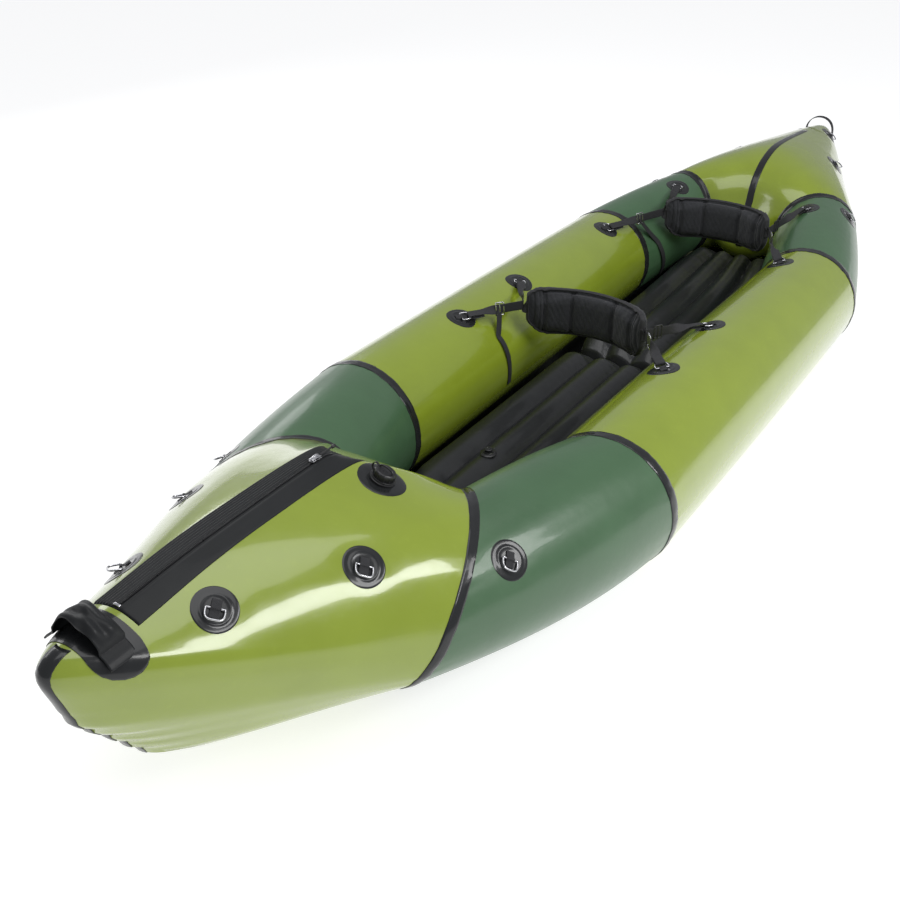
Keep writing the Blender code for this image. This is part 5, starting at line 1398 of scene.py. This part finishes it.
@dataclass
class Floor(Fitting):
    """The bottom sheet, the two chambered mats and the mat's small valve."""

    chambers: int = 4
    crease: float = 0.026
    mat_height: float = 0.095
    squareness: float = 0.36
    sheet_half: float = 0.204
    sheet_narrowing: float = 0.045
    weld_half: float = 0.147
    # The small valve's (radius, height) points over its seat
    valve: Profile = (
        (0, -0.004), (0.019, -0.003), (0.0195, -0.0012), (0.017, 0.0006), (0.0125, 0.0012),
        (0.0112, 0.0030), (0.0108, 0.0042), (0.0082, 0.0046), (0.0080, 0.0058),
        (0.0092, 0.0062), (0.0094, 0.0095), (0.0084, 0.0104), (0.0050, 0.0106),
        (0.0044, 0.0098), (0, 0.0098),
    )

    def outline(self, node: str) -> list[Array]:
        """A mat's stations, undersides, tops and half widths, as its solid has them."""
        points = node_points(node)
        found = []
        for station in np.unique(np.round(points[:, 1], 4)):
            row = points[np.abs(points[:, 1] - station) < 2e-4]
            found.append((station, row[:, 2].min(), row[:, 2].max(), np.abs(row[:, 0]).max()))
        return list(np.array(found).T)

    def mat(self, node: str) -> None:
        """Makes one mat: four soft lengthwise chambers with gathered creases between them."""
        stations, *sizes = self.outline(node)
        middle, reach = (stations[0] + stations[-1]) / 2, (stations[-1] - stations[0]) / 2
        spread = np.sin(np.linspace(0.5, -0.5, 121) * math.pi)
        theta = np.arccos(np.sign(spread) * np.abs(spread) ** (1 / self.squareness))
        theta = np.concatenate([theta[:-1], theta[::3][:-1] + math.pi])
        c, s = np.cos(theta), np.sin(theta)
        top_side = s > 0
        rows = []
        for angle in np.linspace(0, math.pi, 110):
            ahead = -math.copysign(abs(math.cos(angle)) ** 0.62, math.cos(angle))
            station = middle + reach * ahead
            base, top, wide = (np.interp(station, stations, size) for size in sizes)
            height = top - base
            x = wide * np.sign(c) * np.abs(c) ** self.squareness
            rise = np.where(top_side, 0.58, 0.42) * np.sign(s) * np.abs(s) ** 0.55
            z = base + height * (0.42 + rise)
            for line in range(1, self.chambers):
                away = x - wide * (2 * line / self.chambers - 1)
                near = np.exp(-np.abs(away / 0.010) ** 1.3) * top_side
                wide_near = dented(away, 0.026) * top_side
                gather = math.sin(station * math.tau / 0.031 + line * 2.1)
                gather += 0.6 * math.sin(station * math.tau / 0.019 + line)
                z = z - height / self.mat_height * self.crease / 2 * (near + wide_near)
                z = z + 0.0009 * gather * wide_near
            rim = 0.0016 * math.exp(-(((abs(ahead) - 1) / 0.06) ** 2))
            z = z + rim * np.sin(x / wide * 21 + 1.3) * top_side
            rows.append(np.stack([x, np.full_like(x, station), np.maximum(z, base)], -1))
        made = piece(node + "_chambers", swept(np.array(rows)), self.finishes.mat, "hull",
                     [node], crease=80)

    def sheet(self) -> None:
        """Copies the bottom sheet's solid, welding its loose points together."""
        bm = bmesh.new()
        bm.from_mesh(frame["nodes"]["hull_floor"].data)
        bmesh.ops.remove_doubles(bm, verts=bm.verts, dist=1e-5)
        piece("hull_floor_cloth", mapped(bm), self.finishes.tape, "hull", ["hull_floor"])

    def sheet_end(self, word: str, skin: str, start: float, height: float, end: float) -> None:
        """Carries the bottom sheet on to the underside of the bow or stern.

        Args:
            word: the end's name.
            skin: the skin that it is welded to.
            start: the station where the solid sheet ends.
            height: its height there.
            end: the station of the weld.
        """
        tree = self.hull.surfaces[skin].tree
        rows = []
        for share in np.linspace(0.0, 1.0, 14):
            wide = self.sheet_half - self.sheet_narrowing * share
            row = []
            for x in np.linspace(-wide, wide, 41):
                across = min(self.weld_half, max(-self.weld_half, x))
                weld = tree.ray_cast(Vector((across, end, -0.05)), UP, 1.0)[0].z
                row.append((x, start + (end - start) * share,
                            height + (weld + 0.0012 - height) * share))
            rows.append(row)
        bm = grid_mesh(np.array(rows), core=np.array([0, (start + end) / 2, -1.0]))
        made = piece(f"hull_floor_{word}_end", bm, self.finishes.tape, "hull")
        thicken(made, depth=0.0010)

    def small_valve(self) -> None:
        """Turns the mat's small valve with its ribbed cap."""
        low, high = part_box("floor_mat_valve")
        centre = (low + high) / 2
        bm = spun(self.valve, sides=40)
        bm.transform(Matrix.Translation((centre.x, centre.y, low.z)))
        piece("floor_mat_valve_cap", bm, self.finishes.plastic, "hull", ["floor_mat_valve"],
              crease=30)

    def build(self) -> None:
        """Builds the floor."""
        self.sheet()
        self.sheet_end("bow", "bow_skin", start=-0.957, height=0.0341, end=-1.20)
        self.sheet_end("stern", "stern_skin", start=0.962, height=0.0540, end=1.14)
        self.mat("front_floor_mat")
        self.mat("rear_floor_mat")
        self.small_valve()


@dataclass
class Seat(Fitting):
    """One backrest with its webbing, buckles and tail."""

    anchors: Anchors
    kind: str
    station: float
    height: float
    tail_skin: str
    tail_top: Vector
    tail_foot: Vector
    half_width: float = 0.156
    depth: float = 0.075
    arc: float = math.radians(62)
    tall: float = 0.132
    drop: float = 0.020
    thickness: float = 0.030
    web: float = 0.024
    web_end: float = 0.0225
    web_thickness: float = 0.0016
    # The way to where the webbing's face is turned
    shown: Vector = Vector((0.46, -0.72, 0.51))
    near_buckle: int = 4
    far_buckle: int = 7
    aft_buckle: int = 3
    buckle_size: tuple[float, float, float] = (0.007, 0.021, 0.0030)
    tail_width: float = 0.0165
    tail_thickness: float = 0.0013
    channels: tuple[float, ...] = (-0.72, -0.32, 0.32, 0.72)
    end_channels: tuple[float, ...] = (-0.80, -0.88, 0.80, 0.88)
    # The cloth's voxels and pressure, and how far a point of it may move
    voxel: float = 0.004
    pressure: float = 4.0
    swell: float = 0.0045
    last_step: int = 20

    def line(self, share: float) -> tuple[Array, Array, float, float]:
        """The pad's middle, its way forward, half thickness and half height at a share."""
        angle = share * self.arc
        wide, deep = self.half_width / math.sin(self.arc), self.depth / (1 - math.cos(self.arc))
        tangent = unit(np.array([wide * math.cos(angle), -deep * math.sin(angle), 0.0]))
        end = max(0.0, (abs(share) - 0.72) / 0.28)
        middle = np.array([
            wide * math.sin(angle),
            self.station + deep * (math.cos(angle) - math.cos(self.arc)),
            self.height - self.drop * (1 - end * 0.8),
        ])
        ahead = np.array([tangent[1], -tangent[0], 0.0])
        thick = self.thickness / 2 * (1 - 0.62 * end**2)
        half = self.tall / 2 * (1 - 0.45 * end**1.6)
        return middle, ahead, thick, half

    def pad(self) -> None:
        """Makes the pad: blown up as cloth, then sewn down along its channels."""
        node = self.kind + "_backrest"
        rows = []
        phi = np.linspace(0, math.tau, 56, endpoint=False)
        c, s = np.cos(phi), np.sin(phi)
        for share in np.sin(np.linspace(-0.5, 0.5, 60) * math.pi):
            middle, ahead, thick, half = self.line(share * 0.985)
            forward = np.sign(c) * np.abs(c) ** 0.7 * thick * 0.86
            up = np.sign(s) * np.abs(s) ** 0.5 * half * 0.95
            rows.append(middle + forward[:, None] * ahead + up[:, None] * np.array(UP))
        made = piece(node + "_pad", swept(np.array(rows)), self.finishes.padding, node,
                     [node], crease=80)
        self.blow_up(made)
        step = made.modifiers.new("soft", "SUBSURF")
        step.levels = step.render_levels = 1
        self.bake(made)
        self.sew(made)
        self.binding(made, node)

    @staticmethod
    def bake(made: Object) -> None:
        """Puts a piece's modifiers into its mesh, and drops the mesh that it had."""
        bpy.context.view_layer.update()
        graph = bpy.context.evaluated_depsgraph_get()
        before = made.data
        made.data = bpy.data.meshes.new_from_object(made.evaluated_get(graph))
        made.modifiers.clear()
        bpy.data.meshes.remove(before)

    @staticmethod
    def moved(made: Object, points: Array) -> None:
        """Puts a mesh's points at new places."""
        made.data.vertices.foreach_set("co", points.astype(np.float32).ravel())
        made.data.shade_smooth()
        made.data.update()

    def blow_up(self, made: Object) -> None:
        """Swells a pad as cloth under pressure, and holds each point to its farthest move."""
        remesh = made.modifiers.new("even", "REMESH")
        remesh.mode = "VOXEL"
        remesh.voxel_size = self.voxel
        self.bake(made)
        rest = np.array([vert.co for vert in made.data.vertices])
        settings = made.modifiers.new("cloth", "CLOTH").settings
        settings.use_pressure = True
        settings.uniform_pressure_force = self.pressure
        settings.effector_weights.gravity = 0.0
        settings.quality = 4
        for number in range(1, self.last_step + 1):
            bpy.context.scene.frame_set(number)
        self.bake(made)
        bpy.context.scene.frame_set(1)
        shift = np.array([vert.co for vert in made.data.vertices]) - rest
        size = np.linalg.norm(shift, axis=1, keepdims=True)
        self.moved(made, rest + shift * np.minimum(1.0, self.swell / np.maximum(size, 1e-9)))

    def sew(self, made: Object) -> None:
        """Presses the channels in and leaves the panels between them standing."""
        shares = np.linspace(-1, 1, 161)
        middles, aheads, _, halves = (
            np.array(values) for values in zip(*(self.line(share) for share in shares))
        )
        points = np.array([vert.co for vert in made.data.vertices])
        ways = np.array([vert.normal for vert in made.data.vertices])
        flat = ((points[:, None, :2] - middles[None, :, :2]) ** 2).sum(2).argmin(1)
        share = shares[flat]
        up = (points[:, 2] - middles[flat, 2]) / halves[flat]
        groove = 0.8 * dented(np.abs(up) - 0.80, 0.035) * (np.abs(share) < 0.74)
        inside = np.clip((0.80 - np.abs(up)) / 0.40, 0, 1) ** 0.5 * (np.abs(share) < 0.72)
        for channel in self.channels:
            away = share - channel
            groove += 1.2 * dented(away, 0.030) - 0.8 * dented(away, 0.009)
            inside = inside * np.clip(np.abs(away) / 0.12, 0, 1) ** 0.5
        for channel in self.end_channels:
            groove += 0.4 * dented(share - channel, 0.014)
        front = np.clip(np.abs((ways * aheads[flat]).sum(1)) * 1.6, 0, 1)
        wrinkle = np.sin(share * 61 + up * 4) * np.cos(up * 13 + share * 17) * 0.0005
        height = (0.0065 * inside - 0.0056 * groove + wrinkle) * front
        self.moved(made, points + ways * height[:, None])

    def binding(self, made: Object, node: str) -> None:
        """Sews the bound edge round the blown-up pad."""
        tree = BVHTree.FromPolygons([vert.co for vert in made.data.vertices],
                                    [face.vertices[:] for face in made.data.polygons])
        top, bottom = [], []
        for share in np.sin(np.linspace(-0.5, 0.5, 70) * math.pi) * 0.972:
            middle = Vector(self.line(share)[0])
            for way, edge in ((UP, top), (-UP, bottom)):
                hit = tree.ray_cast(middle + way * 0.2, -way, 0.4)[0]
                if hit is not None:
                    edge.append(np.array(hit))
        path = respaced(np.array(top + bottom[::-1] + top[:1]), 221)[:-1]
        tangent = unit(np.roll(path, -1, 0) - np.roll(path, 1, 0))
        shares = np.clip(path[:, 0] / self.half_width, -1, 1)
        ahead = np.array([self.line(share)[1] for share in shares])
        out = unit(np.cross(tangent, ahead))
        turns = np.linspace(0, math.tau, 12, endpoint=False)
        rows = np.stack([path + out * (0.0030 * math.cos(t)) + ahead * (0.0062 * math.sin(t))
                         for t in turns], axis=1)
        bm = swept(rows, closed=True)
        piece(node + "_binding", bm, self.finishes.webbing, node, (), crease=80)

    def leg(self, pivot: Vector, ring: str) -> tuple[Array, Array, Array]:
        """Webbing from the pad's end to a ring: its points, width directions and widths."""
        spot, axis, bow_way = self.anchors.ring_frame(ring)
        bow = spot + bow_way * self.anchors.depth
        aim = in_plane(pivot - bow, axis)
        up = aim.cross(axis).normalized()
        up = up if up.z > 0 else -up
        radius = self.anchors.wire + 0.0014 + self.web_thickness / 2
        first = bow + up * radius + aim * (radius * 6)
        facing = 1.0 if aim.cross(UP).dot(self.shown) > 0 else -1.0
        side = axis if facing * aim.cross(axis).z > 0 else -axis
        points, ways, widths = [], [], []
        for share in np.linspace(0.04, 0.96, 14):
            bend = min(1.0, max(0.0, (share - 0.45) / 0.5))
            turn = bend * bend * (3 - 2 * bend) * math.pi / 2
            points.append(pivot.lerp(first, share))
            ways.append(UP * math.cos(turn) + side * math.sin(turn))
            widths.append(self.web + (self.web_end - self.web) * share)
        points.append(first)
        for turn in math.pi * (0.5 + np.arange(9) / 8):
            points.append(bow + aim * (radius * math.cos(turn)) + up * (radius * math.sin(turn)))
        points.append(bow - up * radius + aim * (radius * 4))
        points.append(bow - up * radius * 0.75 + aim * (radius * 9))
        ways += [side] * 12
        widths += [self.web_end] * 12
        return np.array(points), np.array(ways), np.array(widths)

    def pivot(self, side: Side) -> Vector:
        """Where a side's webbing comes out of the pad."""
        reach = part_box(self.kind + "_backrest")[1].x + 0.0013
        return Vector((side.value * reach, self.station, self.height))

    def straps(self, side: Side) -> None:
        """Threads one side's webbing, and puts its buckles on."""
        pivot = self.pivot(side)
        legs = [self.leg(pivot, f"{self.kind}_seat_{end}_{side.word}_ring")
                for end in ("forward", "aft")]
        (first, first_ways, first_widths), (second, ways, widths) = legs
        path = np.concatenate([first[::-1], [pivot], second])
        sides = np.concatenate([first_ways[::-1], [UP], ways])
        broad = np.concatenate([first_widths[::-1], [self.web], widths])
        for index in range(1, len(sides)):
            if np.dot(sides[index], sides[index - 1]) < 0:
                sides[index] = -sides[index]
        name = f"{self.kind}_seat_strap_{side.word}"
        webbing = self.finishes.webbing
        piece(name + "_webbing", band(path, sides, broad, self.web_thickness), webbing, "hull",
              [name], crease=60)
        inner = [self.line(side.value * share)[0] for share in (0.86, 0.93, 1.0)]
        stub = eased([*inner, np.array(pivot - ACROSS * (side.value * 0.0008))], 24)
        piece(f"{self.kind}_backrest_stub_{side.word}",
              band(stub, repeated(UP, stub), self.web * 1.25, thickness=0.0022),
              webbing, self.kind + "_backrest", (), crease=60)
        place = self.near_buckle if side is Side.PORT else self.far_buckle
        steel, plastic = self.finishes.steel, self.finishes.plastic
        for end, (points, turns, _), index, finish in (
            ("forward", legs[0], place, steel), ("aft", legs[1], self.aft_buckle, plastic),
        ):
            along = Vector(unit(points[index + 1] - points[index]))
            across = in_plane(Vector(unit(turns[index])), along)
            bm = self.buckle()
            bm.transform(framed(points[index], across, along, along.cross(across)))
            piece(f"{self.kind}_seat_{end}_buckle_{side.word}", bm, finish, "hull")

    def buckle(self) -> Mesh:
        """A two-slot adjuster, flat round the origin."""
        margin, long, thick = self.buckle_size
        wide = self.web + margin
        bars = [((x, 0), (0.0035, long)) for x in (-wide / 2, wide / 2)]
        bars += [((0, y), (wide, 0.0034)) for y in (-long / 2, 0.0, long / 2)]
        bm = bmesh.new()
        for place, size in bars:
            matrix = Matrix.Translation((*place, 0)) @ Matrix.Diagonal((*size, thick, 1))
            made = bmesh.ops.create_cube(bm, size=1.0, matrix=matrix)["verts"]
            soften(bm, 0.0008, 3, list({edge for vert in made for edge in vert.link_edges}))
        return bm

    def tail(self) -> None:
        """Hangs the webbing's long tail from its buckle down the far tube's inner face."""
        skin = self.hull.skin_for(self.tail_skin, Side.STARBOARD)
        points, _, _ = self.leg(self.pivot(Side.STARBOARD),
                                f"{self.kind}_seat_forward_starboard_ring")
        start = Vector(points[self.far_buckle])
        run = [skin.over(self.tail_top.lerp(self.tail_foot, share),
                         0.0030 + 0.0016 * math.sin(share * 6.0))
               for share in np.linspace(0.0, 1.0, 15)]
        lead = [start.lerp(run[0], share) - UP * sag
                for share, sag in ((0.0, 0.0020), (0.30, 0.004), (0.65, 0.003))]
        path = eased([*lead, *run], 70)
        normals = np.array([skin.nearest(Vector(point))[1] for point in path])
        sides = unit(np.cross(unit(np.gradient(path, axis=0)), normals))
        bm = band(path, sides, self.tail_width, self.tail_thickness)
        made = piece(f"{self.kind}_seat_tail", bm, self.finishes.webbing, "hull", (), crease=60)

    def build(self) -> None:
        """Builds the seat."""
        self.pad()
        for side in Side:
            self.straps(side)
        self.tail()


@dataclass
class Studio:
    """The floor, the lights and the camera at the photograph's place."""

    focal: float = 1148.94
    place: tuple[float, float, float] = (1.0988, -2.4583, 1.4236)
    azimuth: float = math.radians(32.510)
    elevation: float = math.radians(30.756)
    roll: float = math.radians(-0.218)
    centre: tuple[float, float] = (452.59, 457.76)
    frame_size: float = 900.0
    sensor: float = 36.0
    sky: tuple[float, float, float, float] = (0.93, 0.95, 1.0, 1)
    sky_strength: float = 0.36
    floor_grey: float = 0.52
    floor_glow: float = 0.74
    floor_half: float = 60.0
    aim: tuple[float, float, float] = (0, -0.2, 0.2)

    def camera(self) -> None:
        """Makes the camera."""
        data = bpy.data.cameras.new("photo_camera")
        data.sensor_width = self.sensor
        data.lens = self.focal * self.sensor / self.frame_size
        data.shift_x = (self.frame_size / 2 - self.centre[0]) / self.frame_size
        data.shift_y = (self.centre[1] - self.frame_size / 2) / self.frame_size
        data.clip_start = 0.05
        made = bpy.data.objects.new("photo_camera", data)
        a, e = self.azimuth, self.elevation
        back = Vector((math.sin(a) * math.cos(e), -math.cos(a) * math.cos(e), math.sin(e)))
        right = Vector((math.cos(a), math.sin(a), 0))
        above = back.cross(right)
        c, s = math.cos(self.roll), math.sin(self.roll)
        made.matrix_world = framed(self.place, right * c + above * s, above * c - right * s, back)
        bpy.context.scene.collection.objects.link(made)
        bpy.context.scene.camera = made

    def lamp(
        self, name: str, place: Sequence[float], size: tuple[float, float], power: float
    ) -> None:
        """Hangs one soft box that looks at the boat's middle."""
        data = bpy.data.lights.new(name, "AREA")
        data.shape = "RECTANGLE"
        data.size, data.size_y = size
        data.energy = power
        made = bpy.data.objects.new(name, data)
        made.location = place
        made.rotation_mode = "QUATERNION"
        made.rotation_quaternion = (Vector(self.aim) - Vector(place)).to_track_quat("-Z", "Y")
        bpy.context.scene.collection.objects.link(made)

    def floor(self) -> None:
        """Lays the pale ground."""
        bm = bmesh.new()
        bmesh.ops.create_grid(bm, x_segments=1, y_segments=1, size=self.floor_half)
        mesh = bpy.data.meshes.new("studio_floor")
        bm.to_mesh(mesh)
        bm.free()
        paint = Paint("pale_floor")
        paint.set(Base_Color=(*[self.floor_grey] * 3, 1), Roughness=0.9,
                  Emission_Color=(1.0, 1.0, 1.0, 1), Emission_Strength=self.floor_glow)
        mesh.materials.append(paint.material)
        made = bpy.data.objects.new("studio_floor", mesh)
        bpy.context.scene.collection.objects.link(made)

    def build(self) -> None:
        """Sets the whole studio up."""
        self.camera()
        world = bpy.data.worlds.new("pale_room")
        world.use_nodes = True
        background = world.node_tree.nodes["Background"].inputs
        background["Color"].default_value = self.sky
        background["Strength"].default_value = self.sky_strength
        bpy.context.scene.world = world
        bpy.context.scene.view_settings.view_transform = "Standard"
        self.floor()
        self.lamp("top_box", place=(0.2, -0.6, 2.9), size=(2.4, 2.4), power=34)
        self.lamp("near_box", place=(3.0, -0.1, 2.65), size=(2.8, 0.8), power=68)
        self.lamp("far_box", place=(-3.2, 0.2, 1.7), size=(3.8, 1.0), power=34)


def main() -> None:
    """Builds the boat piece by piece."""
    logging.basicConfig(level=logging.INFO, format="%(name)s %(message)s")
    finishes = Finishes()
    Studio().build()
    hull = Hull(finishes)
    hull.build()
    anchors = Anchors(finishes, hull)
    anchors.build()
    for kind in (DeckZip, MainValve, Handles, Floor):
        kind(finishes, hull).build()
    for kind, station, height, tail_skin, tail_top, tail_foot in (
        ("front", -0.152, 0.300, "mid_tube", (-0.187, -0.228, 0.240), (-0.160, -0.214, 0.110)),
        ("rear", 0.705, 0.290, "rear_panel", (-0.206, 0.698, 0.190), (-0.185, 0.770, 0.070)),
    ):
        Seat(finishes, hull, anchors, kind, station, height, tail_skin, Vector(tail_top),
             Vector(tail_foot)).build()


if __name__ == "__main__":
    main()
